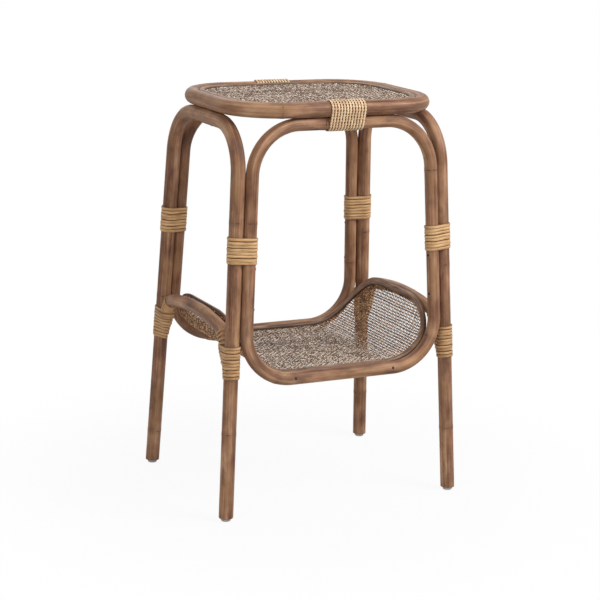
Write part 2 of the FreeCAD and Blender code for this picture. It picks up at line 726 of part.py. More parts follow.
for end_name, end in ENDS.items():
    bar = hoop_point(1, end, hoop_bar_height())
    rim_middle = Vector(0, end * RIM_WIDTH / 2, rim_height)
    bar_middle = Vector(0, bar.y, bar.z)
    width = TOP_LASHING_TURNS * CORD_PITCH
    start = rim_middle - Vector(width / 2, 0, 0)
    hoop_circle = (rim_middle.distanceToPoint(bar_middle), hoop_radius)
    pieces[end_name + "_top_lashing"] = lashing(
        end_name + "_top_lashing", start, Vector(1, 0, 0), unit(bar_middle - rim_middle), Vector(0, 1, 0),
        rim_radius, lambda height: hoop_circle, CORD_DIAMETER, CORD_PITCH, TOP_LASHING_TURNS)
    room_width = width + 2 * CORD_PITCH
    room = lashing_room(rim_middle, bar_middle, rim_radius, hoop_radius, CORD_DIAMETER, room_width)
    for name in ("top_weave_ring", "top_moulding", "top_weave"):
        pieces[name] = pieces[name].cut(room)

for corner_name, side, end in CORNERS:
    axis = leg_axis(side, end)
    start_height = MID_LASHING_HEIGHT - MID_LASHING_TURNS * CANE_PITCH / 2
    pieces[corner_name + "_mid_lashing"] = lashing(
        corner_name + "_mid_lashing", beside_leg(side, end, Vector(0, 0, 0), start_height), axis,
        unit(hoop_offset(side, end)), Vector(0, 1, 0), leg_radius,
        lambda height: (leg_to_hoop, hoop_radius), CANE_DIAMETER, CANE_PITCH, MID_LASHING_TURNS)

for corner_name, side, end in CORNERS:
    axis = leg_axis(side, end)
    base = beside_leg(side, end, Vector(0, 0, 0), rail_tip_height - CANE_DIAMETER / 2)
    tip_rise = CANE_DIAMETER / 2 / axis.z
    bend_rise = (rail_tail_top(side, end) - base).dot(axis)

    def rail_circle(height):
        """A rail's distance from the leg and its radius, on its tail or at the foot of its bend."""
        share = min(max((height - tip_rise) / (bend_rise - tip_rise), 0), 1)
        radius = rail_tip_radius + (rail_radius - rail_tip_radius) * share
        into_bend = max(height - bend_rise, 0)
        lean_in = RAIL_BEND_RADIUS - math.sqrt(RAIL_BEND_RADIUS ** 2 - into_bend ** 2)
        return leg_radius + POLE_CLEARANCE + radius + lean_in, radius

    pieces[corner_name + "_rail_lashing"] = lashing(
        corner_name + "_rail_lashing", base, axis, rail_inward(side, end), Vector(1, 0, 0), leg_radius,
        rail_circle, CANE_DIAMETER, CANE_PITCH, RAIL_LASHING_TURNS)

# Fastenings, whose holes are cut in the pieces that they hold

pieces["rim_splice_dowel"] = splice_dowel(rim_corners, ["top_rim"])
for end_name, end in ENDS.items():
    pieces[end_name + "_hoop_splice_dowel"] = splice_dowel(hoop_corners(end), [end_name + "_hoop"])

hoop_nails = []
rail_nails = []
rim_nails = []
bearer_nails = []
ring_nails = []
for side_name, side in SIDES.items():
    leg_name = side_name + "_leg_frame"
    rail_name = side_name + "_shelf_rail"
    for end_name, end in ENDS.items():
        hoop_name = end_name + "_hoop"
        for height in HOOP_NAIL_HEIGHTS:
            hoop_middle = hoop_point(side, end, height)
            hoop_nails.append(nail(hoop_middle, hoop_radius, hoop_middle - hoop_offset(side, end), leg_radius,
                                   NAIL_BITE, [hoop_name, leg_name]))
        tail_middle = rail_point(side, end, HOOP_BOTTOM_HEIGHT + RAIL_NAIL_RISE)
        rail_nails.append(nail(tail_middle, rail_radius, tail_middle - rail_inward(side, end) * leg_to_rail,
                               leg_radius, NAIL_BITE, [rail_name, leg_name]))
        bar = hoop_point(1, end, hoop_bar_height())
        nail_x = side * RIM_HOOP_NAIL_X
        rim_nails.append(nail(Vector(nail_x, bar.y, bar.z), hoop_radius,
                              Vector(nail_x, end * RIM_WIDTH / 2, rim_height), rim_radius,
                              NAIL_BITE, [hoop_name, "top_rim"]))
        nail_y = end * RIM_LEG_NAIL_Y
        rim_nails.append(nail(Vector(side * TOP_SPREAD_X / 2, nail_y, top_bar_height), leg_radius,
                              Vector(side * RIM_LENGTH / 2, nail_y, rim_height), rim_radius,
                              NAIL_BITE, [leg_name, "top_rim"]))
        nail_x = side * BEARER_NAIL_X
        bearer_nails.append(nail(Vector(nail_x, end * bar_y, HOOP_BOTTOM_HEIGHT), hoop_radius,
                                 Vector(nail_x, end * (bar_y - BEARER_INSET), bearer_height), bearer_radius,
                                 RING_NAIL_BITE, [hoop_name, "shelf_" + end_name + "_bearer"]))
        ring_x = side * TOP_RING_NAIL_X
        rim_y = end * RIM_WIDTH / 2
        ring_nails.append(nail(Vector(ring_x, rim_y - end * top_ring_inset, rim_height), top_ring_radius,
                               Vector(ring_x, rim_y, rim_height), rim_radius,
                               RING_NAIL_BITE, ["top_weave_ring", "top_rim"]))
        ring_y = end * TOP_RING_NAIL_Y
        rim_x = side * RIM_LENGTH / 2
        ring_nails.append(nail(Vector(rim_x - side * top_ring_inset, ring_y, rim_height), top_ring_radius,
                               Vector(rim_x, ring_y, rim_height), rim_radius,
                               RING_NAIL_BITE, ["top_weave_ring", "top_rim"]))
pieces["hoop_to_leg_nails"] = Part.makeCompound(hoop_nails)
pieces["rail_to_leg_nails"] = Part.makeCompound(rail_nails)
pieces["rim_nails"] = Part.makeCompound(rim_nails)
pieces["shelf_bearer_nails"] = Part.makeCompound(bearer_nails)
pieces["top_ring_nails"] = Part.makeCompound(ring_nails)

top_brads = []
shelf_brads = []
down = Vector(0, 0, -1)
top_stack = ["top_moulding", "top_weave", "top_weave_ring"]
top_crown = top_moulding_bottom + TOP_MOULDING_HEIGHT
shelf_crown = weave_half + SHELF_MOULDING_CLEARANCE + SHELF_MOULDING_HEIGHT
for end_name, end in ENDS.items():
    for brad_x in TOP_BRAD_X:
        crown = Vector(brad_x, end * (RIM_WIDTH / 2 - top_moulding_inset), top_crown)
        top_brads.append(brad(crown, down, TOP_BRAD_LENGTH, top_stack))
    shelf_stack = ["shelf_moulding", "shelf_weave", "shelf_" + end_name + "_bearer"]
    for brad_x in SHELF_BRAD_X:
        crown = on_shelf(brad_x, end * shelf_half_width, shelf_crown)
        shelf_brads.append(brad(crown, down, SHELF_BRAD_LENGTH, shelf_stack))
for side_name, side in SIDES.items():
    for brad_y in TOP_BRAD_Y:
        crown = Vector(side * (RIM_LENGTH / 2 - top_moulding_inset), brad_y, top_crown)
        top_brads.append(brad(crown, down, TOP_BRAD_LENGTH, top_stack))
    end_along = side * shelf_end
    rail_stack = ["shelf_moulding", "shelf_weave", side_name + "_shelf_rail"]
    for brad_y in SHELF_BRAD_Y:
        crown = on_shelf(end_along, brad_y, shelf_crown)
        shelf_brads.append(brad(crown, shelf_up(end_along) * -1, SHELF_BRAD_LENGTH, rail_stack))
pieces["top_moulding_brads"] = Part.makeCompound(top_brads)
pieces["shelf_moulding_brads"] = Part.makeCompound(shelf_brads)

glide_nails = []
for corner_name, side, end in CORNERS:
    glide_name = corner_name + "_glide"
    pieces[glide_name] = glide(side, end)
    head_bottom = foot_on_glide(side, end) + Vector(0, 0, GLIDE_NAIL_FLOOR)
    glide_nail = pin_solid(head_bottom, Vector(0, 0, 1), GLIDE_NAIL_LENGTH, GLIDE_NAIL_DIAMETER,
                           GLIDE_NAIL_HEAD_DIAMETER, GLIDE_NAIL_HEAD_THICKNESS)
    leg_name = ("left" if side < 0 else "right") + "_leg_frame"
    pieces[glide_name] = pieces[glide_name].cut(glide_nail)
    pieces[leg_name] = pieces[leg_name].cut(glide_nail)
    glide_nails.append(glide_nail)
pieces["glide_nails"] = Part.makeCompound(glide_nails)

os.makedirs("parts", exist_ok=True)
for name, shape in pieces.items():
    volume = shape.Volume / 1000
    print(f"{name}: {len(shape.Solids)} solids, volume {volume:.2f} cm3, valid {shape.isValid()}")
    shape.exportStep("parts/" + name + ".step")
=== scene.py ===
import math

import bpy
from mathutils import Matrix, Vector


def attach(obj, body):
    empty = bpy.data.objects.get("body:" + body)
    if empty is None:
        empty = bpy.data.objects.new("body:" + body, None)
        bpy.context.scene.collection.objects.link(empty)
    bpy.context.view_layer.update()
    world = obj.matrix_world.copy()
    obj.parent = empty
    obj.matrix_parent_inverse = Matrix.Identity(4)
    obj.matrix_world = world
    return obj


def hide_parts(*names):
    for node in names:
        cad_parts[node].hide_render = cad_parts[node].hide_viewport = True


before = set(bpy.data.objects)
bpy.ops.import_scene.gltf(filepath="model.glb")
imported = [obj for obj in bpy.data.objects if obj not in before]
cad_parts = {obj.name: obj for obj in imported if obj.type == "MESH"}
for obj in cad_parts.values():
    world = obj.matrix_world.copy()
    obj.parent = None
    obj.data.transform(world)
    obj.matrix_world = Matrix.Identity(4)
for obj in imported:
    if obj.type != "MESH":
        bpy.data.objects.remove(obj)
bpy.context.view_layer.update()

# A rattan side table: bent poles lashed with cane, a woven top inside a round rim and a woven
# shelf slung below it. Lengths are in metres, -Y is the table's front and +Z is up.

MM = 0.001

# Stance
TABLE_HEIGHT = 680 * MM
FOOT_SPREAD_X = 420 * MM
FOOT_SPREAD_Y = 329 * MM
TOP_SPREAD_X = 364 * MM
TOP_SPREAD_Y = 264 * MM
GLIDE_HEIGHT = 5 * MM

# Poles
LEG_RADIUS = 12 * MM
LEG_BEND = 80 * MM
HOOP_RADIUS = 10.75 * MM
HOOP_TOP_BEND = 83 * MM
HOOP_BOTTOM_BEND = 80 * MM
HOOP_BOTTOM = 228.5 * MM
HOOP_PROUD = 5.8 * MM
RAIL_RADIUS = 10.75 * MM
RAIL_CROWN = 320 * MM
RAIL_ARCH = 520 * MM
RAIL_ARCH_ANGLE = math.radians(10)
RAIL_BEND = 32 * MM
RAIL_TIP_RADIUS = 3 * MM
RAIL_TIP = 238 * MM
POLE_GAP = 0.25 * MM
SPLICE_GAP = 0.3 * MM

# Top
RIM_LENGTH = 358 * MM
RIM_WIDTH = 283.4 * MM
RIM_RADIUS = 12.75 * MM
RIM_CORNER = 89 * MM
TOP_RING_RADIUS = 6 * MM
WEAVE_THICKNESS = 1.6 * MM
PRESSED_WEAVE = 1.0 * MM
WEAVE_GAP = 0.2 * MM
TOP_MOULDING_WIDTH = 10.5 * MM
TOP_MOULDING_HEIGHT = 4 * MM
FIELD_MARGIN = 0.3 * MM
LASH_MARGIN = 1 * MM

# Shelf
SHELF_BEND = 96 * MM
SHELF_END_ANGLE = math.radians(75)
SHELF_CORNER = 88 * MM
SHELF_MOULDING_WIDTH = 13.4 * MM
SHELF_MOULDING_HEIGHT = 6.6 * MM
SHELF_MOULDING_INSET = 17.7 * MM
SHELF_MOULDING_GAP = 0.4 * MM
SHELF_COVER = 3.6 * MM
BEARER_RADIUS = 6 * MM
BEARER_DROP = 4 * MM
BEARER_INSET = 17.2 * MM
BEARER_BEND = math.radians(16)

# Lashings
MID_LASHING = 446 * MM
MID_TURNS = 8
RAIL_TURNS = 10
CANE_PITCH = 5.4 * MM
CANE_WIDTH = 5.3 * MM
CANE_THICKNESS = 2.3 * MM
# How far a cane stands off unevenly, in long and in short waves, how far it strays along the
# pole, and how many radians of each wave are in a turn
CANE_LIFT = 0.22 * MM
CANE_FLUTTER = 0.12 * MM
CANE_STRAY = 0.3 * MM
LIFT_RATE = 2.3
FLUTTER_RATE = 9.1
STRAY_RATE = 3.7
CANE_SIDES = 10
TOP_TURNS = 12
CORD_PITCH = 5.3 * MM
CORD_WIDTH = 5.2 * MM
CORD_THICKNESS = 2.8 * MM
PLY_SHARE = 0.54  # a ply's size as a share of the cord's
PLY_SWING = 0.24  # a ply's way off the cord's middle, as a share of the cord's size
PLY_SIDES = 8
CORD_LAY = 10 * MM  # length in which the cord's two plies go once round each other

# Weave
STRAND_PITCH = 5.0 * MM
STRAND_WIDTH = 2.1 * MM
STRAND_THICKNESS = 1.1 * MM
STRAND_SIDES = 6
STRAND_SWAY = 0.3 * MM
SWAY_RATE = 70  # radians of the sway in a metre, and the range of its start
SWAY_STARTS = 6.3
STRAND_DRIFT = 0.9 * MM  # range of a strand's place across
LEAST_WIDTH = 0.84  # a strand's least width, as a share of the usual one, and its range
WIDTH_RANGE = 0.36
LENGTHWISE_SLIMMER = 0.1
LENGTHWISE_PALER = 0.1
ROW_TINT = 0.3  # share of a strand's tint that stays the same along it
# Painted shade: tint taken off the top's weave, to make it a darker copy of the shelf's
TOP_SHADE = -0.1
SHEEN_FADE = 50 * MM  # length of the shelf's bend in which its painted sheen dies away

# Fineness
RING_STEP = 3 * MM
POLE_SIDES = 24
POLE_CREASE = math.radians(50)
MOULDING_CREASE = math.radians(60)
CANE_CREASE = math.radians(70)
STRAND_CREASE = math.radians(80)
NAIL_CREASE = math.radians(40)

SIDES = {"left": -1, "right": 1}
ENDS = {"front": -1, "back": 1}
CORNERS = [(end_name + "_" + side_name, side, end)
           for end_name, end in ENDS.items() for side_name, side in SIDES.items()]

rim_height = TABLE_HEIGHT - RIM_RADIUS
leg_to_hoop = LEG_RADIUS + HOOP_RADIUS + POLE_GAP
leg_to_rail = LEG_RADIUS + RAIL_RADIUS + POLE_GAP
rim_to_leg_bar = RIM_RADIUS + LEG_RADIUS + POLE_GAP
rim_to_hoop_bar = RIM_RADIUS + HOOP_RADIUS + POLE_GAP
top_bar_height = rim_height - math.sqrt(rim_to_leg_bar ** 2 - ((TOP_SPREAD_X - RIM_LENGTH) / 2) ** 2)


# Where the poles run

def across(direction, axis):
    """The unit vector square to an axis that leans most towards a direction."""
    return (direction - axis * direction.dot(axis)).normalized()


def foot_point(side, end):
    return Vector((side * FOOT_SPREAD_X / 2, end * FOOT_SPREAD_Y / 2, 0))


def leg_corner(side, end):
    return Vector((side * TOP_SPREAD_X / 2, end * TOP_SPREAD_Y / 2, top_bar_height))


def leg_axis(side, end):
    return (leg_corner(side, end) - foot_point(side, end)).normalized()


def beside_leg(side, end, offset, height):
    """The point at a height on the line that runs along a leg at an offset from its axis."""
    start = foot_point(side, end) + offset
    axis = leg_axis(side, end)
    return start + axis * ((height - start.z) / axis.z)


def hoop_offset(side, end):
    axis = leg_axis(side, end)
    outward = Vector((0, end * axis.z, -end * axis.y)).normalized()
    inward = across(Vector((-side, 0, 0)), axis)
    return inward * math.sqrt(leg_to_hoop ** 2 - HOOP_PROUD ** 2) + outward * HOOP_PROUD


def hoop_point(side, end, height):
    return beside_leg(side, end, hoop_offset(side, end), height)


def hoop_bar_height():
    under_rim = hoop_point(1, 1, rim_height - rim_to_hoop_bar)
    return rim_height - math.sqrt(rim_to_hoop_bar ** 2 - (RIM_WIDTH / 2 - under_rim.y) ** 2)


def rail_inward(side, end):
    return across(Vector((0, -end, 0)), leg_axis(side, end))


def rail_point(side, end, height):
    return beside_leg(side, end, rail_inward(side, end) * leg_to_rail, height)


def rail_crown(side):
    """The point over a rail's middle where the slopes of its arch would cross."""
    over = rail_point(side, 1, RAIL_CROWN + RAIL_ARCH * (1 / math.cos(RAIL_ARCH_ANGLE) - 1))
    return Vector((over.x, 0, over.z))


def rail_shoulder(side, end):
    """The point where the slope of a rail's arch would cross the line of its tail."""
    level = rail_point(side, end, rail_crown(side).z)
    axis = leg_axis(side, end)
    fall = math.tan(RAIL_ARCH_ANGLE)
    way_down = abs(level.y) * fall / (math.sqrt(1 - axis.y ** 2) - abs(axis.y) * fall)
    return level - axis * way_down


def rail_tail_top(side, end):
    axis = leg_axis(side, end)
    shoulder = rail_shoulder(side, end)
    turn = axis.angle(rail_crown(side) - shoulder)
    return shoulder - axis * (RAIL_BEND * math.tan(turn / 2))


def rail_tip(side, end):
    offset = rail_inward(side, end) * (LEG_RADIUS + POLE_GAP + RAIL_TIP_RADIUS)
    return beside_leg(side, end, offset, RAIL_TIP)


# The shelf's bent surface

weave_half = WEAVE_THICKNESS / 2
bearer_height = HOOP_BOTTOM - BEARER_DROP
shelf_height = bearer_height + BEARER_RADIUS + WEAVE_GAP + weave_half
bar_y = hoop_point(1, 1, HOOP_BOTTOM).y
rail_middle = Vector((rail_point(1, 1, RAIL_CROWN).x, 0, RAIL_CROWN))
up_slope = Vector((math.cos(SHELF_END_ANGLE), 0, math.sin(SHELF_END_ANGLE)))
off_slope = Vector((-math.sin(SHELF_END_ANGLE), 0, math.cos(SHELF_END_ANGLE)))
slope_off = rail_middle.dot(off_slope) + RAIL_RADIUS + POLE_GAP + weave_half
fold_x = (shelf_height * math.cos(SHELF_END_ANGLE) - slope_off) / math.sin(SHELF_END_ANGLE)
fold_setback = SHELF_BEND * math.tan(SHELF_END_ANGLE / 2)
shelf_flat = fold_x - fold_setback
bend_end = shelf_flat + SHELF_BEND * SHELF_END_ANGLE
shelf_end = bend_end + (rail_middle - Vector((fold_x, 0, shelf_height))).dot(up_slope) - fold_setback
shelf_half_width = bar_y - SHELF_MOULDING_INSET


def on_shelf(along, place, rise):
    """A point over the shelf, from its distance along the weave, its place across and its rise."""
    side = math.copysign(1, along)
    angle = min(max(abs(along) - shelf_flat, 0) / SHELF_BEND, SHELF_END_ANGLE)
    past_bend = max(abs(along) - bend_end, 0)
    reach = SHELF_BEND - rise
    x = min(abs(along), shelf_flat) + reach * math.sin(angle) + past_bend * math.cos(angle)
    z = shelf_height + SHELF_BEND - reach * math.cos(angle) + past_bend * math.sin(angle)
    return Vector((side * x, place, z))


def lay_on_shelf(piece):
    """Bend a piece that was modelled flat onto the shelf's surface."""
    for vertex in piece.data.vertices:
        vertex.co = on_shelf(*vertex.co)


# Bending poles and strips

def steps_through(points, radii):
    """Straight runs through points, with a tangent bend of its own radius at each inner one."""
    steps = []
    start = points[0]
    for before, corner, after, radius in zip(points, points[1:], points[2:], radii):
        arriving = (corner - before).normalized()
        leaving = (after - corner).normalized()
        turn = arriving.angle(leaving)
        setback = radius * math.tan(turn / 2)
        axis = arriving.cross(leaving).normalized()
        bend_start = corner - arriving * setback
        steps.append(("run", bend_start - start))
        steps.append(("bend", bend_start + axis.cross(arriving) * radius, axis, turn))
        start = corner + leaving * setback
    steps.append(("run", points[-1] - start))
    return steps


def spliced(corners):
    """A loop's points from one side of its splice round to the other."""
    splice = (corners[0] + corners[-1]) / 2
    half_gap = (corners[0] - corners[-1]).normalized() * (SPLICE_GAP / 2)
    return [splice + half_gap] + corners + [splice - half_gap]


def edit(piece, action="SELECT"):
    """Open a piece in edit mode, alone and with all or nothing of it selected."""
    bpy.ops.object.select_all(action="DESELECT")
    piece.select_set(True)
    bpy.context.view_layer.objects.active = piece
    bpy.ops.object.mode_set(mode="EDIT")
    bpy.ops.mesh.select_all(action=action)


def leave():
    bpy.ops.object.mode_set(mode="OBJECT")


def joined(name, pieces):
    """Several meshes made one piece."""
    bpy.ops.object.select_all(action="DESELECT")
    for piece in pieces:
        piece.select_set(True)
    bpy.context.view_layer.objects.active = pieces[0]
    bpy.ops.object.join()
    pieces[0].name = name
    pieces[0].data.name = name
    return pieces[0]


def start_ring(name, centre, along, radius, sides):
    """A ring of edges square to a direction, left open in edit mode and selected."""
    bpy.ops.object.select_all(action="DESELECT")
    bpy.ops.mesh.primitive_circle_add(vertices=sides, radius=radius, location=centre,
                                      rotation=along.to_track_quat("Z", "Y").to_euler())
    bpy.ops.object.transform_apply(location=True, rotation=True, scale=True)
    piece = bpy.context.object
    piece.name = name
    piece.data.name = name
    edit(piece)
    return piece


def draw_out(start, along, steps):
    """Extrude the selected ring along runs and spin it round bends.

    Gives back each ring's centre, the way it is turned and its distance from the start. Spin
    turns left-handed here, so it gets each bend's axis the other way round.
    """
    centre = start
    turned = along.to_track_quat("Z", "Y").to_matrix()
    travelled = 0.0
    rings = [(centre, turned, travelled)]
    for kind, *sizes in steps:
        if kind == "run":
            way = sizes[0]
            count = max(1, round(way.length / RING_STEP))
            bpy.ops.mesh.extrude_repeat(steps=count, offset=way / count)
            for ring in range(1, count + 1):
                share = ring / count
                rings.append((centre + way * share, turned, travelled + way.length * share))
        else:
            hub, axis, angle = sizes
            arm = centre - hub
            length = angle * arm.length
            count = max(2, round(length / RING_STEP))
            bpy.ops.mesh.spin(steps=count, angle=angle, center=hub, axis=-axis)
            for ring in range(1, count + 1):
                turn = Matrix.Rotation(angle * ring / count, 3, axis)
                rings.append((hub + turn @ arm, turn @ turned, travelled + length * ring / count))
        centre, turned, travelled = rings[-1]
    return rings


def close_ends(piece, crease, sides=0):
    """Fill a tube's open ends of up to so many sides, or all of them for 0, turn its faces
    outwards and smooth it up to an angle."""
    edit(piece)
    bpy.ops.mesh.fill_holes(sides=sides)
    bpy.ops.mesh.normals_make_consistent(inside=False)
    leave()
    bpy.ops.object.shade_smooth_by_angle(angle=crease)


def note_points(piece, name, values):
    """Keep a value for each point of a piece, for its finish to read: a place for its grain."""
    kind, field = ("FLOAT_VECTOR", "vector") if name == "grain" else ("FLOAT", "value")
    layer = piece.data.attributes.new(name, kind, "POINT")
    for item, value in zip(layer.data, values):
        setattr(item, field, value)


def chance(number, salt=0.0):
    """A number from 0 to 1 that looks drawn by lot, and is the same each time."""
    return math.modf(abs(math.sin(number * 12.9898 + salt * 78.233) * 43758.5453))[0]


KNOT_HEIGHT = 0.35 * MM
KNOT_SPREAD = 3.5 * MM
KNOT_REACH = 30 * MM
GRAIN_RANGE = 10  # metres of grain, from which each pole takes a part of its own


def pole(name, start, along, steps, radius, knots, taper=None):
    """A rattan pole drawn out along steps, swollen at its knots. taper gives the thickness at a
    ring as a share, from the ring's distance and the whole length."""
    piece = start_ring(name, start, along, radius, POLE_SIDES)
    rings = draw_out(start, along, steps)
    leave()
    whole = rings[-1][2]
    offset = chance(len(name), whole) * GRAIN_RANGE
    grain = []
    from_knot = []
    for index, vertex in enumerate(piece.data.vertices):
        centre, turned, travelled = rings[index // POLE_SIDES]
        place = turned.transposed() @ (vertex.co - centre)
        nearest = min((travelled - knot * MM for knot in knots), key=abs, default=KNOT_REACH)
        nearest = min(max(nearest, -KNOT_REACH), KNOT_REACH)
        swell = 1 + KNOT_HEIGHT / radius * math.exp(-(nearest / KNOT_SPREAD) ** 2)
        if taper:
            swell *= taper(travelled, whole)
        vertex.co = centre + (vertex.co - centre) * swell
        grain.append((place.x, place.y, travelled + offset))
        from_knot.append(nearest)
    note_points(piece, "grain", grain)
    note_points(piece, "from_knot", from_knot)
    close_ends(piece, POLE_CREASE)
    return piece


def bent_pole(name, points, radii, radius, knots):
    along = (points[1] - points[0]).normalized()
    return pole(name, points[0], along, steps_through(points, radii), radius, knots)


# Finishes

def srgb(red, green, blue):
    """A colour given as on a screen, from 0 to 255, as the shader takes it."""
    shares = [channel / 255 for channel in (red, green, blue)]
    return tuple(s / 12.92 if s < 0.04045 else ((s + 0.055) / 1.055) ** 2.4 for s in shares) + (1.0,)


class Wire:
    """A socket of a finish, so that sums of sockets read as sums."""

    def __init__(self, finish, socket):
        self.finish = finish
        self.socket = socket

    def math(self, operation, first, second=0.0):
        return self.finish.node("Math", {"operation": operation}, {0: first, 1: second})

    def __add__(self, other):
        return self.math("ADD", self, other)

    __radd__ = __add__

    def __sub__(self, other):
        return self.math("SUBTRACT", self, other)

    def __rsub__(self, other):
        return self.math("SUBTRACT", other, self)

    def __mul__(self, other):
        return self.math("MULTIPLY", self, other)

    __rmul__ = __mul__

    def __abs__(self):
        return self.math("ABSOLUTE", self)

    def between(self, low, high):
        """0 below low, 1 above high and a smooth step between."""
        return self.finish.node("MapRange", {"interpolation_type": "SMOOTHSTEP"},
                                {0: self, 1: low, 2: high, 3: 0.0, 4: 1.0})


class Finish:
    """A material and the nodes that it is made of."""

    def __init__(self, name):
        self.material = bpy.data.materials.new(name)
        self.material.use_nodes = True
        self.tree = self.material.node_tree
        self.shader = self.tree.nodes["Principled BSDF"]

    def node(self, kind, settings, inputs, output=0):
        """Add a node with its settings, feed its sockets and give back one of its outputs."""
        made = self.tree.nodes.new("ShaderNode" + kind)
        for setting, value in settings.items():
            if setting == "stops":
                for stop, (position, colour) in zip(made.color_ramp.elements, value):
                    stop.position = position
                    stop.color = colour
                for position, colour in value[2:]:
                    made.color_ramp.elements.new(position).color = colour
            else:
                setattr(made, setting, value)
        for socket, value in inputs.items():
            self.feed(made.inputs[socket], value)
        return Wire(self, made.outputs[output])

    def feed(self, socket, value):
        if isinstance(value, Wire):
            self.tree.links.new(value.socket, socket)
        else:
            socket.default_value = value

    def noise(self, place, scale, detail=3.0, roughness=0.55):
        """Noise over a place, with a scale of its own in each direction."""
        spot = self.node("Mapping", {}, {"Vector": place, "Scale": scale})
        return self.node("TexNoise", {}, {"Vector": spot, "Scale": 1.0, "Detail": detail,
                                          "Roughness": roughness})

    def place(self):
        return self.node("TexCoord", {}, {}, "Object")

    def attribute(self, name, output="Vector"):
        return self.node("Attribute", {"attribute_name": name}, {}, output)

    def mix(self, share, first, second):
        return self.node("Mix", {"data_type": "RGBA"}, {0: share, 6: first, 7: second}, 2)

    def ramp(self, share, stops):
        return self.node("ValToRGB", {"stops": stops}, {0: share})

    def bump(self, height, distance, strength):
        return self.node("Bump", {}, {"Height": height, "Distance": distance, "Strength": strength})

    def surface(self, **sockets):
        names = {"colour": "Base Color", "roughness": "Roughness", "metal": "Metallic", "normal": "Normal",
                 "gloss": "Specular IOR Level"}
        for name, value in sockets.items():
            self.feed(self.shader.inputs[names[name]], value)
        return self.material

    def seen(self):
        """1 on rays from the camera and on those that a shiny or clear surface sends on."""
        camera, shine, clear = (self.node("LightPath", {}, {}, "Is " + kind + " Ray")
                                for kind in ("Camera", "Glossy", "Transmission"))
        return camera + shine + clear


class Sky(Finish):
    """The light all round and the nodes that it is made of."""

    def __init__(self, name):
        self.world = bpy.data.worlds.new(name)
        self.world.use_nodes = True
        self.tree = self.world.node_tree
        self.tree.nodes.remove(self.tree.nodes["Background"])


def rattan(name, by_grain=True):
    """Smoked rattan skin: streaks along the pole, brown and tan blotches and dark knot lines."""
    finish = Finish(name)
    grain = finish.attribute("grain") if by_grain else finish.place()
    streaks = finish.noise(grain, (520, 520, 9), 4.0, 0.6)
    bands = finish.noise(grain, (130, 130, 5), 3.0)
    blotches = finish.noise(grain, (42, 42, 22), 3.0)
    ochre = finish.noise(grain, (30, 30, 12), 2.0).between(0.47, 0.62)
    smoke = finish.noise(grain, (60, 60, 15), 4.0).between(0.5, 0.68)
    tone = streaks * 0.26 + bands * 0.38 + blotches * 0.36
    colour = finish.ramp(tone, [(0.38, srgb(94, 63, 47)), (0.63, srgb(200, 160, 126)),
                                (0.45, srgb(130, 91, 69)), (0.51, srgb(155, 114, 87)),
                                (0.57, srgb(178, 136, 105))])
    colour = finish.mix(ochre * 0.34, colour, srgb(172, 131, 92))
    colour = finish.mix(smoke * 0.55, colour, srgb(98, 72, 60))
    if by_grain:
        from_knot = abs(finish.attribute("from_knot", "Fac"))
        ragged = from_knot + streaks * 0.0030
        broken = finish.noise(grain, (110, 110, 40), 2.0).between(0.46, 0.6)
        line = (1 - ragged.between(0.0014, 0.0030)) * broken
        halo = 1 - from_knot.between(0.001, 0.010)
        colour = finish.mix(halo * 0.25, colour, srgb(112, 80, 58))
        colour = finish.mix(line * 0.8, colour, srgb(52, 36, 27))
    return finish.surface(colour=colour, roughness=0.4 + streaks * 0.2, gloss=0.2,
                          normal=finish.bump(streaks, 0.0003, 0.3))


def cane(name, width, pale, mid, dark):
    """Split cane, peeled and dry: fine fibres along the strand, a few brown ones, and painted shade
    darkening both edges, where one turn or ply lies against the next.
    """
    finish = Finish(name)
    grain = finish.attribute("grain")
    fibres = finish.noise(grain, (1500, 1500, 30), 3.0, 0.6)
    stains = finish.noise(grain, (160, 160, 32), 3.0)
    tone = fibres * 0.45 + stains * 0.55
    colour = finish.ramp(tone, [(0.34, dark), (0.62, pale), (0.48, mid)])
    across = abs(finish.node("SeparateXYZ", {}, {"Vector": grain}, "X")) * (2 / width)
    # Painted shade: the strand darkens towards both edges, for the dark lines where neighbouring turns meet.
    colour = finish.mix(across.between(0.6, 1.0) * 0.7, colour, srgb(84, 55, 36))
    return finish.surface(colour=colour, roughness=0.42 + fibres * 0.25, gloss=0.3,
                          normal=finish.bump(fibres, 0.0002, 0.4))


def edged_moulding(name):
    """Half-round rattan, smoked grey-brown, with painted shade darkening it along both edges."""
    finish = Finish(name)
    grain = finish.attribute("grain")
    edge = finish.attribute("edge", "Fac")
    fibres = finish.noise(grain, (1100, 1100, 14), 3.0, 0.6)
    stains = finish.noise(grain, (150, 150, 24), 3.0)
    tone = fibres * 0.4 + stains * 0.6
    colour = finish.ramp(tone, [(0.36, srgb(88, 65, 52)), (0.62, srgb(182, 150, 126)),
                                (0.49, srgb(138, 107, 87))])
    # Painted shade: dark lines along both edges, in the grooves beside the moulding.
    colour = finish.mix((edge + fibres * 0.16).between(0.86, 1.04) * 0.8, colour, srgb(50, 35, 27))
    return finish.surface(colour=colour, roughness=0.42 + fibres * 0.2, gloss=0.22,
                          normal=finish.bump(fibres, 0.0002, 0.3))


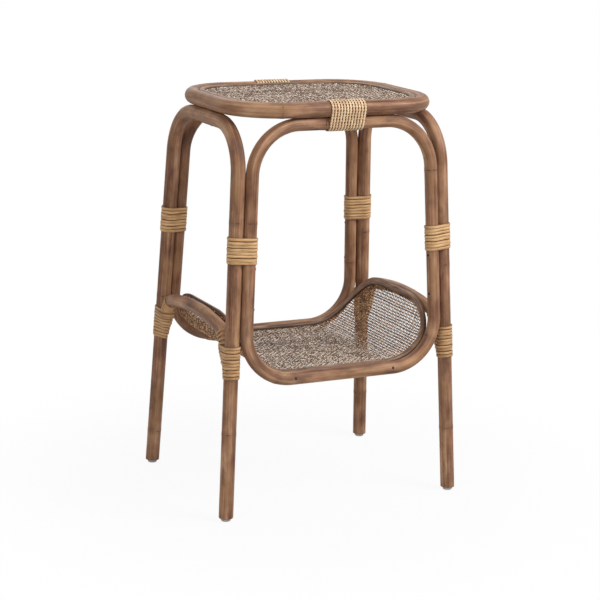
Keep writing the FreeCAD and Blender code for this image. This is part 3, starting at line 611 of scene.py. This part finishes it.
def woven_cane(name):
    """Fine cane, with a painted highlight where a strand comes over another, painted shade where it dips,
    and a painted sheen that makes it paler and greyer where it lies flat.
    """
    finish = Finish(name)
    lay = finish.attribute("grain")
    tint = finish.attribute("tint", "Fac")
    crown = finish.attribute("crown", "Fac")
    fibres = finish.noise(lay, (900, 900, 900), 3.0, 0.6)
    speckles = finish.noise(lay, (500, 220, 500), 2.0).between(0.36, 0.64)
    # Painted highlight on the crossings and painted shade where the strands dip between them.
    tone = crown * 0.32 + tint * 0.55 + speckles * 0.42 + fibres * 0.1 - 0.205
    without_sheen = finish.ramp(tone, [(0.22, srgb(52, 31, 17)), (0.8, srgb(250, 206, 156)),
                               (0.42, srgb(110, 72, 44)), (0.58, srgb(166, 120, 80))])
    # Painted sheen: this paler, greyer ramp stands for the grazing reflection off the flat weave; the
    # browner one above is the cane without it.
    with_sheen = finish.ramp(tone, [(0.22, srgb(62, 45, 35)), (0.77, srgb(255, 241, 223)),
                              (0.42, srgb(120, 92, 75)), (0.57, srgb(180, 150, 128))])
    colour = finish.mix(finish.attribute("wear", "Fac"), without_sheen, with_sheen)
    return finish.surface(colour=colour, roughness=0.45 + fibres * 0.2, gloss=0.3,
                          normal=finish.bump(fibres, 0.0001, 0.4))


def dull_iron(name):
    finish = Finish(name)
    rust = finish.noise(finish.place(), (900, 900, 900), 4.0)
    colour = finish.ramp(rust, [(0.35, srgb(38, 30, 26)), (0.7, srgb(92, 72, 58))])
    return finish.surface(colour=colour, roughness=0.45 + rust * 0.3, metal=0.7)


def glide_plastic(name):
    finish = Finish(name)
    scuffs = finish.noise(finish.place(), (500, 500, 500), 4.0)
    colour = finish.ramp(scuffs, [(0.3, srgb(176, 172, 166)), (0.7, srgb(214, 212, 206))])
    return finish.surface(colour=colour, roughness=0.4 + scuffs * 0.2,
                          normal=finish.bump(scuffs, 0.0001, 0.3))


def bare_dowel(name):
    finish = Finish(name)
    fibres = finish.noise(finish.place(), (40, 900, 900), 3.0)
    colour = finish.ramp(fibres, [(0.35, srgb(170, 128, 80)), (0.65, srgb(206, 168, 116))])
    return finish.surface(colour=colour, roughness=0.6)


rattan_skin = rattan("smoked_rattan")
ring_skin = rattan("hidden_rattan", by_grain=False)
split_cane = cane("split_cane", CANE_WIDTH, srgb(236, 196, 146), srgb(214, 169, 119), srgb(150, 104, 67))
# A darker copy of the split cane, for the lashings on the rail tails.
darker_cane = cane("darker_cane", CANE_WIDTH, srgb(226, 184, 135), srgb(194, 150, 105), srgb(126, 87, 58))
pale_cord = cane("pale_cord", PLY_SHARE * CORD_WIDTH, srgb(255, 228, 190), srgb(238, 200, 158),
                 srgb(182, 136, 96))
moulding_skin = edged_moulding("moulding_skin")
weave_finish = woven_cane("woven_cane")
nail_iron = dull_iron("dull_iron")
glide_finish = glide_plastic("glide_plastic")
dowel_wood = bare_dowel("bare_dowel")


def dress(piece, material):
    """Give a piece one finish all over."""
    piece.data.materials.clear()
    piece.data.materials.append(material)


def seat(piece, material, slot, *nodes):
    """Give a piece its finish and its place in the table."""
    dress(piece, material)
    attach(piece, "root")
    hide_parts(*nodes)


# Frame poles

FOOT_BEVEL = 1.2 * MM
CUT_SLACK = 0.01 * MM  # for finding the edges of the cut foot
# Distances of knots from a pole's start, in millimetres
LEG_KNOTS = {"left": (146, 492, 838, 1180, 1430),
             "right": (112, 398, 742, 1090, 1402)}
HOOP_KNOTS = {"front": (212, 498, 806, 1085, 1330),
              "back": (160, 430, 742, 1030, 1290)}
RIM_KNOTS = (168, 452, 596, 905)
RAIL_KNOTS = (150, 330)


def leg_frame(name, side, knots):
    """Two legs and the bar between them, bent from one pole, with bevelled feet."""
    route = [foot_point(side, -1), leg_corner(side, -1), leg_corner(side, 1), foot_point(side, 1)]
    piece = bent_pole(name, route, [LEG_BEND] * 2, LEG_RADIUS, knots)
    edit(piece)
    bpy.ops.mesh.bisect(plane_co=(0, 0, GLIDE_HEIGHT), plane_no=(0, 0, 1), clear_inner=True, use_fill=True)
    bpy.ops.mesh.select_all(action="DESELECT")
    leave()
    for edge in piece.data.edges:
        edge.select = all(piece.data.vertices[v].co.z < GLIDE_HEIGHT + CUT_SLACK for v in edge.vertices)
    bpy.ops.object.mode_set(mode="EDIT")
    bpy.ops.mesh.bevel(offset=FOOT_BEVEL, segments=2, affect="EDGES")
    leave()
    bpy.ops.object.shade_smooth_by_angle(angle=POLE_CREASE)
    return piece


def hoop_corners(end):
    top = hoop_bar_height()
    return [hoop_point(1, end, top), hoop_point(1, end, HOOP_BOTTOM),
            hoop_point(-1, end, HOOP_BOTTOM), hoop_point(-1, end, top)]


def shelf_rail(name, side):
    """An arched rail bent down along both legs, with whittled tails."""
    tops = [rail_tail_top(side, end) for end in (-1, 1)]
    tips = [rail_tip(side, end) for end in (-1, 1)]
    route = [tops[0], rail_shoulder(side, -1), rail_crown(side), rail_shoulder(side, 1), tops[1]]
    steps = steps_through(route, [RAIL_BEND, RAIL_ARCH, RAIL_BEND])[1:-1]
    steps = [("run", tops[0] - tips[0])] + steps + [("run", tips[1] - tops[1])]
    tail = (tops[0] - tips[0]).length

    def whittled(travelled, whole):
        share = min(travelled, whole - travelled) / tail
        return min(1, (RAIL_TIP_RADIUS + (RAIL_RADIUS - RAIL_TIP_RADIUS) * share) / RAIL_RADIUS)

    return pole(name, tips[0], leg_axis(side, -1), steps, RAIL_RADIUS, RAIL_KNOTS, whittled)


for side_name, side in SIDES.items():
    frame_name = side_name + "_leg_frame"
    rail_name = side_name + "_shelf_rail"
    seat(leg_frame("bent_" + frame_name, side, LEG_KNOTS[side_name]), rattan_skin, "rattan_pole", frame_name)
    seat(shelf_rail("arched_" + rail_name, side), rattan_skin, "rattan_pole", rail_name)
for end_name, end in ENDS.items():
    radii = [HOOP_TOP_BEND, HOOP_BOTTOM_BEND, HOOP_BOTTOM_BEND, HOOP_TOP_BEND]
    hoop = bent_pole("bent_" + end_name + "_hoop", spliced(hoop_corners(end)), radii, HOOP_RADIUS,
                     HOOP_KNOTS[end_name])
    seat(hoop, rattan_skin, "rattan_pole", end_name + "_hoop")


# Top

top_weave_bottom = rim_height + TOP_RING_RADIUS + WEAVE_GAP
top_moulding_bottom = top_weave_bottom + PRESSED_WEAVE


def clear_of_rim(height, clearance):
    """How far in from the rim's axis a thing at a height clears the rim's round section."""
    return math.sqrt((RIM_RADIUS + clearance) ** 2 - (height - rim_height) ** 2)


def rim_loop(inset, height):
    x = RIM_LENGTH / 2 - inset
    y = RIM_WIDTH / 2 - inset
    return [Vector((-x, y, height)), Vector((-x, -y, height)),
            Vector((x, -y, height)), Vector((x, y, height))]


top_moulding_inset = clear_of_rim(top_moulding_bottom, POLE_GAP) + TOP_MOULDING_WIDTH / 2
weave_edge_inset = clear_of_rim(top_weave_bottom, 2 * POLE_GAP)
field_inset = top_moulding_inset + TOP_MOULDING_WIDTH / 2 + FIELD_MARGIN
lash_room = RIM_RADIUS + CORD_THICKNESS + LASH_MARGIN
lash_half = (TOP_TURNS / 2 + 1) * CORD_PITCH

rim = bent_pole("round_rim", spliced(rim_loop(0, rim_height)), [RIM_CORNER] * 4, RIM_RADIUS, RIM_KNOTS)
seat(rim, rattan_skin, "rattan_pole", "top_rim")

MOULDING_SIDES = 16
DOUBLE_REACH = 0.002 * MM


def half_round(name, points, radii, width, height):
    """A half-round strip through level points, flat underneath."""
    along = (points[1] - points[0]).normalized()
    piece = start_ring(name, points[0], along, width / 2, MOULDING_SIDES)
    leave()
    for vertex in piece.data.vertices:
        rise = vertex.co.z - points[0].z
        vertex.co.z = points[0].z + max(rise, 0) * height / (width / 2)
    edit(piece)
    rings = draw_out(points[0], along, steps_through(points, radii))
    leave()
    grain = []
    edge = []
    for index, vertex in enumerate(piece.data.vertices):
        centre, turned, travelled = rings[index // MOULDING_SIDES]
        place = turned.transposed() @ (vertex.co - centre)
        grain.append((place.x, place.y, travelled))
        edge.append(abs(place.x) / (width / 2))
    note_points(piece, "grain", grain)
    note_points(piece, "edge", edge)
    close_ends(piece, MOULDING_CREASE)
    return piece


moulding_loop = rim_loop(top_moulding_inset, top_moulding_bottom)
top_moulding = half_round("top_edge_moulding", spliced(moulding_loop), [RIM_CORNER - top_moulding_inset] * 4,
                          TOP_MOULDING_WIDTH, TOP_MOULDING_HEIGHT)
for vertex in top_moulding.data.vertices:
    if abs(vertex.co.x) < lash_half:
        limit = RIM_WIDTH / 2 - math.sqrt(lash_room ** 2 - (vertex.co.z - rim_height) ** 2)
        vertex.co.y = math.copysign(min(abs(vertex.co.y), limit), vertex.co.y)
edit(top_moulding)
bpy.ops.mesh.remove_doubles(threshold=DOUBLE_REACH)
leave()
seat(top_moulding, moulding_skin, "moulding", "top_moulding")


# Weave

def rounded(x, y, half_x, half_y, corner):
    """Whether a point lies inside a rectangle with rounded corners."""
    past_x = max(abs(x) - half_x + corner, 0)
    past_y = max(abs(y) - half_y + corner, 0)
    return past_x ** 2 + past_y ** 2 < corner ** 2


def crimp(vertex):
    """How a strand along X rises and falls, from 1 on one crossing to -1 on the next."""
    return math.cos(math.pi * vertex.co.x / STRAND_PITCH)


def strands(name, half_length, half_width, sign, shade):
    """Parallel strands along X, each over and under the ones that it crosses.

    sign is 1 for the strands that go over at the middle crossing and -1 for those under it, and
    shade is added to their tint."""
    crossings = math.ceil(half_length / STRAND_PITCH)
    rows = math.ceil(half_width / STRAND_PITCH)
    start = Vector((-(crossings + 0.5) * STRAND_PITCH, -rows * STRAND_PITCH, 0))
    piece = start_ring(name, start, Vector((1, 0, 0)), STRAND_WIDTH / 2, STRAND_SIDES)
    bpy.ops.mesh.extrude_repeat(steps=2 * (2 * crossings + 1), offset=(STRAND_PITCH / 2, 0, 0))
    leave()
    flat = STRAND_THICKNESS / STRAND_WIDTH
    lift = sign * (-1) ** rows * STRAND_THICKNESS
    for vertex in piece.data.vertices:
        vertex.co.z = vertex.co.z * flat + crimp(vertex) * lift / 2
    bpy.ops.object.duplicate()
    neighbour = bpy.context.object
    for vertex in neighbour.data.vertices:
        vertex.co.z -= crimp(vertex) * lift
        vertex.co.y += STRAND_PITCH
    joined(name, [piece, neighbour])
    repeat = piece.modifiers.new("repeat", "ARRAY")
    repeat.count = rows + 1
    repeat.use_relative_offset = False
    repeat.use_constant_offset = True
    repeat.constant_offset_displace = (0, 2 * STRAND_PITCH, 0)
    bpy.ops.object.modifier_apply(modifier=repeat.name)
    tints = []
    crown_highlights = []
    for vertex in piece.data.vertices:
        # Painted highlight: 1 on each crossing and 0 midway, where the strand dips into painted shade.
        crown_highlights.append(abs(crimp(vertex)))
        row = round(vertex.co.y / STRAND_PITCH)
        crossing = round(vertex.co.x / STRAND_PITCH)
        own_tint = chance(row * 131 + crossing, 2.9 * sign)
        tint = ROW_TINT * chance(row, 5.3 * sign) + (1 - ROW_TINT) * own_tint
        # shade is painted shade, added to a whole weave's tint; the top's weave gets it darker than the
        # shelf's
        tints.append(tint + LENGTHWISE_PALER * sign + shade)
        middle = row * STRAND_PITCH
        width = LEAST_WIDTH + WIDTH_RANGE * chance(row, 1.7 * sign) - LENGTHWISE_SLIMMER * sign
        phase = SWAY_RATE * vertex.co.x + SWAY_STARTS * chance(row, sign)
        sway = STRAND_SWAY * math.sin(phase) + STRAND_DRIFT * (chance(row, 3.1) - 0.5)
        vertex.co.y = middle + (vertex.co.y - middle) * width + sway
    note_points(piece, "tint", tints)
    note_points(piece, "crown", crown_highlights)
    return piece


def trim(piece, kept):
    """Cut strands off where a point isn't kept, and close the ends that are cut square."""
    edit(piece, "DESELECT")
    leave()
    for vertex in piece.data.vertices:
        vertex.select = not kept(vertex.co.x, vertex.co.y)
    bpy.ops.object.mode_set(mode="EDIT")
    bpy.ops.mesh.delete(type="VERT")
    leave()
    close_ends(piece, STRAND_CREASE, STRAND_SIDES)
    note_points(piece, "grain", [vertex.co for vertex in piece.data.vertices])


def woven_pair(name, half_x, half_y, kept, shade):
    """The lengthwise and the crosswise strands of a flat weave about the origin."""
    lengthwise = strands(name + "_lengthwise", half_x, half_y, 1, shade)
    trim(lengthwise, kept)
    crosswise = strands(name + "_crosswise", half_y, half_x, -1, shade)
    for vertex in crosswise.data.vertices:
        vertex.co = Vector((vertex.co.y, vertex.co.x, vertex.co.z))
    trim(crosswise, kept)
    return lengthwise, crosswise


def in_rim(x, y, inset):
    return rounded(x, y, RIM_LENGTH / 2 - inset, RIM_WIDTH / 2 - inset, RIM_CORNER - inset)


def on_top(x, y):
    beside_lashing = abs(x) > lash_half or abs(y) < RIM_WIDTH / 2 - lash_room
    return beside_lashing and in_rim(x, y, weave_edge_inset)


for piece in woven_pair("top", RIM_LENGTH / 2, RIM_WIDTH / 2, on_top, TOP_SHADE):
    for vertex in piece.data.vertices:
        if in_rim(vertex.co.x, vertex.co.y, field_inset):
            vertex.co.z += top_weave_bottom + weave_half
        else:
            vertex.co.z = top_weave_bottom + PRESSED_WEAVE * (0.5 + vertex.co.z / (2 * STRAND_THICKNESS))
    # Painted sheen all over the flat top weave.
    note_points(piece, "wear", [1.0] * len(piece.data.vertices))
    seat(piece, weave_finish, "weave", "top_weave")


# Shelf

def in_shelf(x, y):
    return rounded(x, y, shelf_end + SHELF_COVER, shelf_half_width + SHELF_COVER, SHELF_CORNER + SHELF_COVER)


for piece in woven_pair("shelf", shelf_end, shelf_half_width, in_shelf, 0):
    past_flat = [abs(vertex.co.x) - shelf_flat for vertex in piece.data.vertices]
    # Painted sheen: full on the flat shelf, dying away up its bends.
    note_points(piece, "wear", [min(max(1 - past / SHEEN_FADE, 0), 1) for past in past_flat])
    lay_on_shelf(piece)
    seat(piece, weave_finish, "weave", "shelf_weave")

shelf_rise = weave_half + SHELF_MOULDING_GAP
shelf_loop = [Vector((x * shelf_end, y * shelf_half_width, shelf_rise))
              for x, y in ((-1, 1), (-1, -1), (1, -1), (1, 1))]
shelf_moulding = half_round("shelf_edge_moulding", spliced(shelf_loop), [SHELF_CORNER] * 4,
                            SHELF_MOULDING_WIDTH, SHELF_MOULDING_HEIGHT)
lay_on_shelf(shelf_moulding)
seat(shelf_moulding, moulding_skin, "moulding", "shelf_moulding")

for end_name, end in ENDS.items():
    tip = shelf_flat + SHELF_BEND * BEARER_BEND
    place = end * (bar_y - BEARER_INSET)
    rise = bearer_height - shelf_height
    start = Vector((-tip, place, rise))
    name = "shelf_" + end_name + "_bearer"
    run = [("run", Vector((2 * tip, 0, 0)))]
    bearer = pole("slim_" + name, start, Vector((1, 0, 0)), run, BEARER_RADIUS, ())
    lay_on_shelf(bearer)
    seat(bearer, rattan_skin, "rattan_pole", name)


# Lashings

TURN_STEPS = 44
CLIMB_PART = 0.22  # of a turn at each end, in which a strand steps over to the next
STEADY_CLIMB = 0.3  # share of the step that is spread over the whole turn


def climb(part):
    """How far a strand has stepped over after a part of a turn, mostly at the turn's ends."""
    first = min(part / CLIMB_PART, 1)
    last = max((part - 1) / CLIMB_PART + 1, 0)
    stepped = (first * first * (3 - 2 * first) + last * last * (3 - 2 * last)) / 2
    return STEADY_CLIMB * part + (1 - STEADY_CLIMB) * stepped


def winding(thickness, pitch, turns, axis, base, towards, ends_face, near_radius, far_circle):
    """Spots of a strand wound round two poles, each a point and the direction outwards there.

    base is on the near pole's axis, towards points from it to the far pole, and far_circle gives
    the far pole's distance and radius at a height. The strand starts and ends between the poles,
    on the side that faces ends_face.
    """
    aside = axis.cross(towards)
    if aside.dot(ends_face) > 0:
        aside = -aside
    near = near_radius + thickness / 2
    spots = []
    for step in range(turns * TURN_STEPS + 1):
        turn, part = divmod(step / TURN_STEPS, 1)
        height = pitch * (turn + climb(part))
        distance, far_radius = far_circle(height)
        far = far_radius + thickness / 2
        lean = math.acos((near - far) / distance)
        straight = math.sqrt(distance ** 2 - (near - far) ** 2)
        far_arc = 2 * far * lean
        near_arc = 2 * near * (math.pi - lean)
        reach = part * (2 * straight + far_arc + near_arc)
        if reach < straight / 2:
            angle = -lean
            share = 0.5 + reach / straight
        elif reach < straight / 2 + far_arc:
            angle = (reach - straight / 2) / far - lean
            share = 1
        elif reach < straight * 1.5 + far_arc:
            angle = lean
            share = 1.5 - (reach - far_arc) / straight
        elif reach < straight * 1.5 + far_arc + near_arc:
            angle = lean + (reach - straight * 1.5 - far_arc) / near
            share = 0
        else:
            angle = -lean
            share = (reach - straight * 1.5 - far_arc - near_arc) / straight
        outward = towards * math.cos(angle) + aside * math.sin(angle)
        centre = towards * (distance * share)
        spots.append((base + centre + outward * (near + (far - near) * share) + axis * height, outward))
    return spots


def stations_along(spots):
    """Spots with the direction across a strand laid through them, and the distance so far."""
    stations = []
    travelled = 0.0
    for index, (point, outward) in enumerate(spots):
        before = spots[max(index - 1, 0)][0]
        after = spots[min(index + 1, len(spots) - 1)][0]
        if index:
            travelled += (point - before).length
        side = (after - before).normalized().cross(outward).normalized()
        stations.append((point, side, outward, travelled))
    return stations


def laid_strand(name, stations, width, thickness, sides):
    """A strand of oval section laid through stations."""
    piece = start_ring(name, Vector(), Vector((0, 0, 1)), 0.5, sides)
    bpy.ops.transform.resize(value=(width, thickness, 1))
    bpy.ops.mesh.extrude_repeat(steps=len(stations) - 1, offset=(0, 0, MM))
    leave()
    grain = []
    for vertex in piece.data.vertices:
        point, side, outward, travelled = stations[round(vertex.co.z / MM)]
        grain.append((vertex.co.x, vertex.co.y, travelled))
        vertex.co = point + side * vertex.co.x + outward * vertex.co.y
    note_points(piece, "grain", grain)
    close_ends(piece, CANE_CREASE)
    return piece


def cane_lashing(name, turns, axis, *course):
    """Flat cane wound tight, a little uneven from turn to turn. course is as in winding."""
    uneven = []
    for step, (point, outward) in enumerate(winding(CANE_THICKNESS, CANE_PITCH, turns, axis, *course)):
        turn = step / TURN_STEPS
        lift = CANE_LIFT * math.sin(turn * LIFT_RATE + len(name))
        lift += CANE_FLUTTER * math.sin(turn * FLUTTER_RATE)
        stray = CANE_STRAY * math.sin(turn * STRAY_RATE + 2 * len(name))
        uneven.append((point + outward * lift + axis * stray, outward))
    return laid_strand(name, stations_along(uneven), CANE_WIDTH, CANE_THICKNESS, CANE_SIDES)


def cord_lashing(name, turns, axis, *course):
    """Two plies twisted round each other and wound as one cord. course is as in winding."""
    spots = winding(CORD_THICKNESS, CORD_PITCH, turns, axis, *course)
    plies = []
    for ply in range(2):
        twisted = []
        for point, side, outward, travelled in stations_along(spots):
            twist = 2 * math.pi * (travelled / CORD_LAY + ply / 2)
            swing = outward * (math.cos(twist) * CORD_THICKNESS) + side * (math.sin(twist) * CORD_WIDTH)
            twisted.append((point + swing * PLY_SWING, outward))
        plies.append(laid_strand(name + f"_ply_{ply}", stations_along(twisted), CORD_WIDTH * PLY_SHARE,
                                 CORD_THICKNESS * PLY_SHARE, PLY_SIDES))
    return joined(name, plies)


WRAPS = 4
WRAP_START = math.radians(17)  # round a rail's bend from the top of its tail
WRAP_STEP = math.radians(11)
WRAP_HALF = math.radians(168)  # how far a wrap goes round the rail to each side
WRAP_WIDTH = 4.4 * MM
WRAP_THICKNESS = 1.7 * MM
WRAP_HALF_STEPS = 16
WRAP_TUCK = 0.88  # share of a wrap's half after which its end dives under
WRAP_DIVE = 8  # slope of that dive, in thicknesses for a half


def bend_wrap(name, side, end, angle):
    """A cane round a rail's bend, with both ends tucked in where the rail meets the leg."""
    axis = leg_axis(side, end)
    inward = rail_inward(side, end)
    to_leg = axis * math.sin(angle) - inward * math.cos(angle)
    middle = rail_tail_top(side, end) + (inward + to_leg) * RAIL_BEND
    level = axis.cross(inward)
    spots = []
    for step in range(2 * WRAP_HALF_STEPS + 1):
        share = step / WRAP_HALF_STEPS - 1
        outward = level * math.sin(share * WRAP_HALF) - to_leg * math.cos(share * WRAP_HALF)
        tucked = max(abs(share) - WRAP_TUCK, 0) * WRAP_DIVE * WRAP_THICKNESS
        spots.append((middle + outward * (RAIL_RADIUS + WRAP_THICKNESS / 2 - tucked), outward))
    return laid_strand(name, stations_along(spots), WRAP_WIDTH, WRAP_THICKNESS, CANE_SIDES)


for end_name, end in ENDS.items():
    bar = hoop_point(1, end, hoop_bar_height())
    rim_middle = Vector((0, end * RIM_WIDTH / 2, rim_height))
    to_bar = Vector((0, bar.y, bar.z)) - rim_middle
    start = rim_middle - Vector((TOP_TURNS * CORD_PITCH / 2, 0, 0))
    node = end_name + "_top_lashing"
    lashing = cord_lashing("twisted_" + node, TOP_TURNS, Vector((1, 0, 0)), start, to_bar.normalized(),
                           Vector((0, 1, 0)), RIM_RADIUS, lambda height: (to_bar.length, HOOP_RADIUS))
    seat(lashing, pale_cord, "twisted_cord", node)

for corner_name, side, end in CORNERS:
    axis = leg_axis(side, end)
    base = beside_leg(side, end, Vector(), MID_LASHING - MID_TURNS * CANE_PITCH / 2)
    node = corner_name + "_mid_lashing"
    lashing = cane_lashing("wound_" + node, MID_TURNS, axis, base, hoop_offset(side, end).normalized(),
                           Vector((0, 1, 0)), LEG_RADIUS, lambda height: (leg_to_hoop, HOOP_RADIUS))
    seat(lashing, split_cane, "cane_binding", node)

for corner_name, side, end in CORNERS:
    axis = leg_axis(side, end)
    base = beside_leg(side, end, Vector(), RAIL_TIP - CANE_WIDTH / 4)
    bend_rise = (rail_tail_top(side, end) - base).dot(axis)

    def rail_circle(height):
        """A rail's distance from the leg and its radius, on its tail or at the foot of its bend."""
        share = min(max(height / bend_rise, 0), 1)
        radius = RAIL_TIP_RADIUS + (RAIL_RADIUS - RAIL_TIP_RADIUS) * share
        into_bend = max(height - bend_rise, 0)
        lean_in = RAIL_BEND - math.sqrt(RAIL_BEND ** 2 - into_bend ** 2)
        return LEG_RADIUS + POLE_GAP + radius + lean_in, radius

    node = corner_name + "_rail_lashing"
    lashing = cane_lashing("wound_" + node, RAIL_TURNS, axis, base, rail_inward(side, end),
                           Vector((1, 0, 0)), LEG_RADIUS, rail_circle)
    wraps = [bend_wrap(f"{node}_wrap_{number}", side, end, WRAP_START + number * WRAP_STEP)
             for number in range(WRAPS)]
    seat(joined(lashing.name, [lashing] + wraps), darker_cane, "cane_binding", node)


# Nails and glides

# A nail's rings from its point to the top of its head, as height and radius in millimetres
NAIL_RINGS = ((-27.0, 0.3), (-24.5, 1.25), (-0.4, 1.25), (-0.4, 2.35), (0.1, 2.35), (0.45, 1.9), (0.65, 1.0))
NAIL_SIDES = 12
HOOP_NAIL_HEIGHTS = (350 * MM, 416 * MM)
BEARER_NAIL_X = 90.5 * MM
RIM_HOOP_NAIL_X = 28 * MM
RIM_LEG_NAIL_Y = 24 * MM


def first_nail():
    """A nail with a low domed head at the origin, which points down."""
    piece = start_ring("nail", Vector(), Vector((0, 0, 1)), MM, NAIL_SIDES)
    bpy.ops.mesh.extrude_repeat(steps=len(NAIL_RINGS) - 1, offset=(0, 0, MM))
    leave()
    for vertex in piece.data.vertices:
        height, radius = NAIL_RINGS[round(vertex.co.z / MM)]
        vertex.co = Vector((vertex.co.x * radius, vertex.co.y * radius, height * MM))
    close_ends(piece, NAIL_CREASE)
    return piece


def nails(node, places):
    """Nails with their heads on poles, from each pole's axis point, its radius and where it points."""
    driven = []
    for number, (middle, radius, target) in enumerate(places):
        way = (target - middle).normalized()
        copy = nail_model.copy()
        copy.data = nail_model.data.copy()
        copy.name = f"{node}_{number}"
        bpy.context.scene.collection.objects.link(copy)
        turned = (-way).to_track_quat("Z", "Y").to_matrix().to_4x4()
        copy.data.transform(Matrix.Translation(middle - way * radius) @ turned)
        driven.append(copy)
    seat(joined("driven_" + node, driven), nail_iron, "nail", node)


nail_model = first_nail()
hoop_places = []
bearer_places = []
rim_places = []
for corner_name, side, end in CORNERS:
    for height in HOOP_NAIL_HEIGHTS:
        middle = hoop_point(side, end, height)
        hoop_places.append((middle, HOOP_RADIUS, middle - hoop_offset(side, end)))
    x = side * BEARER_NAIL_X
    bearer_places.append((Vector((x, end * bar_y, HOOP_BOTTOM)), HOOP_RADIUS,
                          Vector((x, end * (bar_y - BEARER_INSET), bearer_height))))
    bar = hoop_point(1, end, hoop_bar_height())
    x = side * RIM_HOOP_NAIL_X
    rim_places.append((Vector((x, bar.y, bar.z)), HOOP_RADIUS, Vector((x, end * RIM_WIDTH / 2, rim_height))))
    y = end * RIM_LEG_NAIL_Y
    rim_places.append((Vector((side * TOP_SPREAD_X / 2, y, top_bar_height)), LEG_RADIUS,
                       Vector((side * RIM_LENGTH / 2, y, rim_height))))
nails("hoop_to_leg_nails", hoop_places)
nails("shelf_bearer_nails", bearer_places)
nails("rim_nails", rim_places)
bpy.data.objects.remove(nail_model)

KEPT_SOLIDS = {"nails": nail_iron, "brads": nail_iron, "glide": glide_finish, "dowel": dowel_wood,
               "weave_ring": ring_skin}
for name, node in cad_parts.items():
    words = [word for word in KEPT_SOLIDS if word in name]
    if words:
        dress(node, KEPT_SOLIDS[words[0]])


# Floor, light and camera

WHITE = (1, 1, 1, 1)
FLOOR_GREY = (0.75, 0.75, 0.75, 1)
FLOOR_SIZE = 8.0
FLOOR_DROP = 0.5 * MM
FLOOR_GLOW = 0.93  # share of plain white near the table, where the rest shows its shadow
SHADOW_NEAR = 0.25
SHADOW_FAR = 0.75
AMBIENT = 0.3


def pale_floor():
    """A floor that looks white to the camera and keeps a little of the table's shadow."""
    bpy.ops.mesh.primitive_plane_add(size=FLOOR_SIZE, location=(0, 0, -FLOOR_DROP))
    floor = bpy.context.object
    floor.name = "floor"
    finish = Finish("pale_floor")
    finish.surface(colour=FLOOR_GREY, roughness=0.9)
    lit = Wire(finish, finish.shader.outputs[0])
    glow = finish.node("Emission", {}, {"Color": WHITE, "Strength": 1.0})
    reach = finish.node("VectorMath", {"operation": "LENGTH"}, {0: finish.place()}, "Value")
    white = FLOOR_GLOW + (1 - FLOOR_GLOW) * reach.between(SHADOW_NEAR, SHADOW_FAR)
    mixed = finish.node("MixShader", {}, {0: finish.seen() * white, 1: lit, 2: glow})
    finish.feed(finish.tree.nodes["Material Output"].inputs["Surface"], mixed)
    floor.data.materials.append(finish.material)


def soft_sky():
    """Even light all round, which the camera sees as white."""
    sky = Sky("soft_sky")
    bpy.context.scene.world = sky.world
    even = sky.node("Background", {}, {"Color": WHITE, "Strength": AMBIENT})
    white = sky.node("Background", {}, {"Color": WHITE, "Strength": 1.0})
    mixed = sky.node("MixShader", {}, {0: sky.seen(), 1: even, 2: white})
    sky.feed(sky.tree.nodes["World Output"].inputs["Surface"], mixed)


def soft_box(name, place, aim, size, watts):
    """A square lamp that faces a point."""
    lamp = bpy.data.lights.new(name, "AREA")
    lamp.size = size
    lamp.energy = watts
    box = bpy.data.objects.new(name, lamp)
    box.location = place
    box.rotation_euler = (Vector(aim) - Vector(place)).to_track_quat("-Z", "Y").to_euler()
    bpy.context.scene.collection.objects.link(box)


MIDDLE = (0, 0, 0.35)
pale_floor()
soft_sky()
soft_box("key_light", (1.2, -1.4, 2.0), MIDDLE, size=1.1, watts=42)
soft_box("fill_light", (-2.0, -1.4, 1.8), MIDDLE, size=1.4, watts=17)
soft_box("back_light", (0.5, 2.3, 1.7), MIDDLE, size=1.4, watts=9)

CAMERA_AZIMUTH = math.radians(-26.27)
CAMERA_ELEVATION = math.radians(13.38)
CAMERA_ROLL = math.radians(1.43)
CAMERA_DISTANCE = 3159.82 * MM
CAMERA_TARGET = Vector((-3.31 * MM, 0, 317.73 * MM))
CAMERA_LENS = 109.86  # in millimetres, as is the sensor
CAMERA_SENSOR = 36

back = Vector((math.sin(CAMERA_AZIMUTH) * math.cos(CAMERA_ELEVATION),
               -math.cos(CAMERA_AZIMUTH) * math.cos(CAMERA_ELEVATION), math.sin(CAMERA_ELEVATION)))
level = Vector((math.cos(CAMERA_AZIMUTH), math.sin(CAMERA_AZIMUTH), 0))
upright = back.cross(level)
right = level * math.cos(CAMERA_ROLL) + upright * math.sin(CAMERA_ROLL)
up = upright * math.cos(CAMERA_ROLL) - level * math.sin(CAMERA_ROLL)
lens = bpy.data.cameras.new("camera")
lens.lens = CAMERA_LENS
lens.sensor_width = CAMERA_SENSOR
camera = bpy.data.objects.new("camera", lens)
bpy.context.scene.collection.objects.link(camera)
turned = Matrix((right, up, back)).transposed().to_4x4()
camera.matrix_world = Matrix.Translation(CAMERA_TARGET + back * CAMERA_DISTANCE) @ turned
bpy.context.scene.camera = camera
bpy.context.scene.view_settings.view_transform = "Standard"
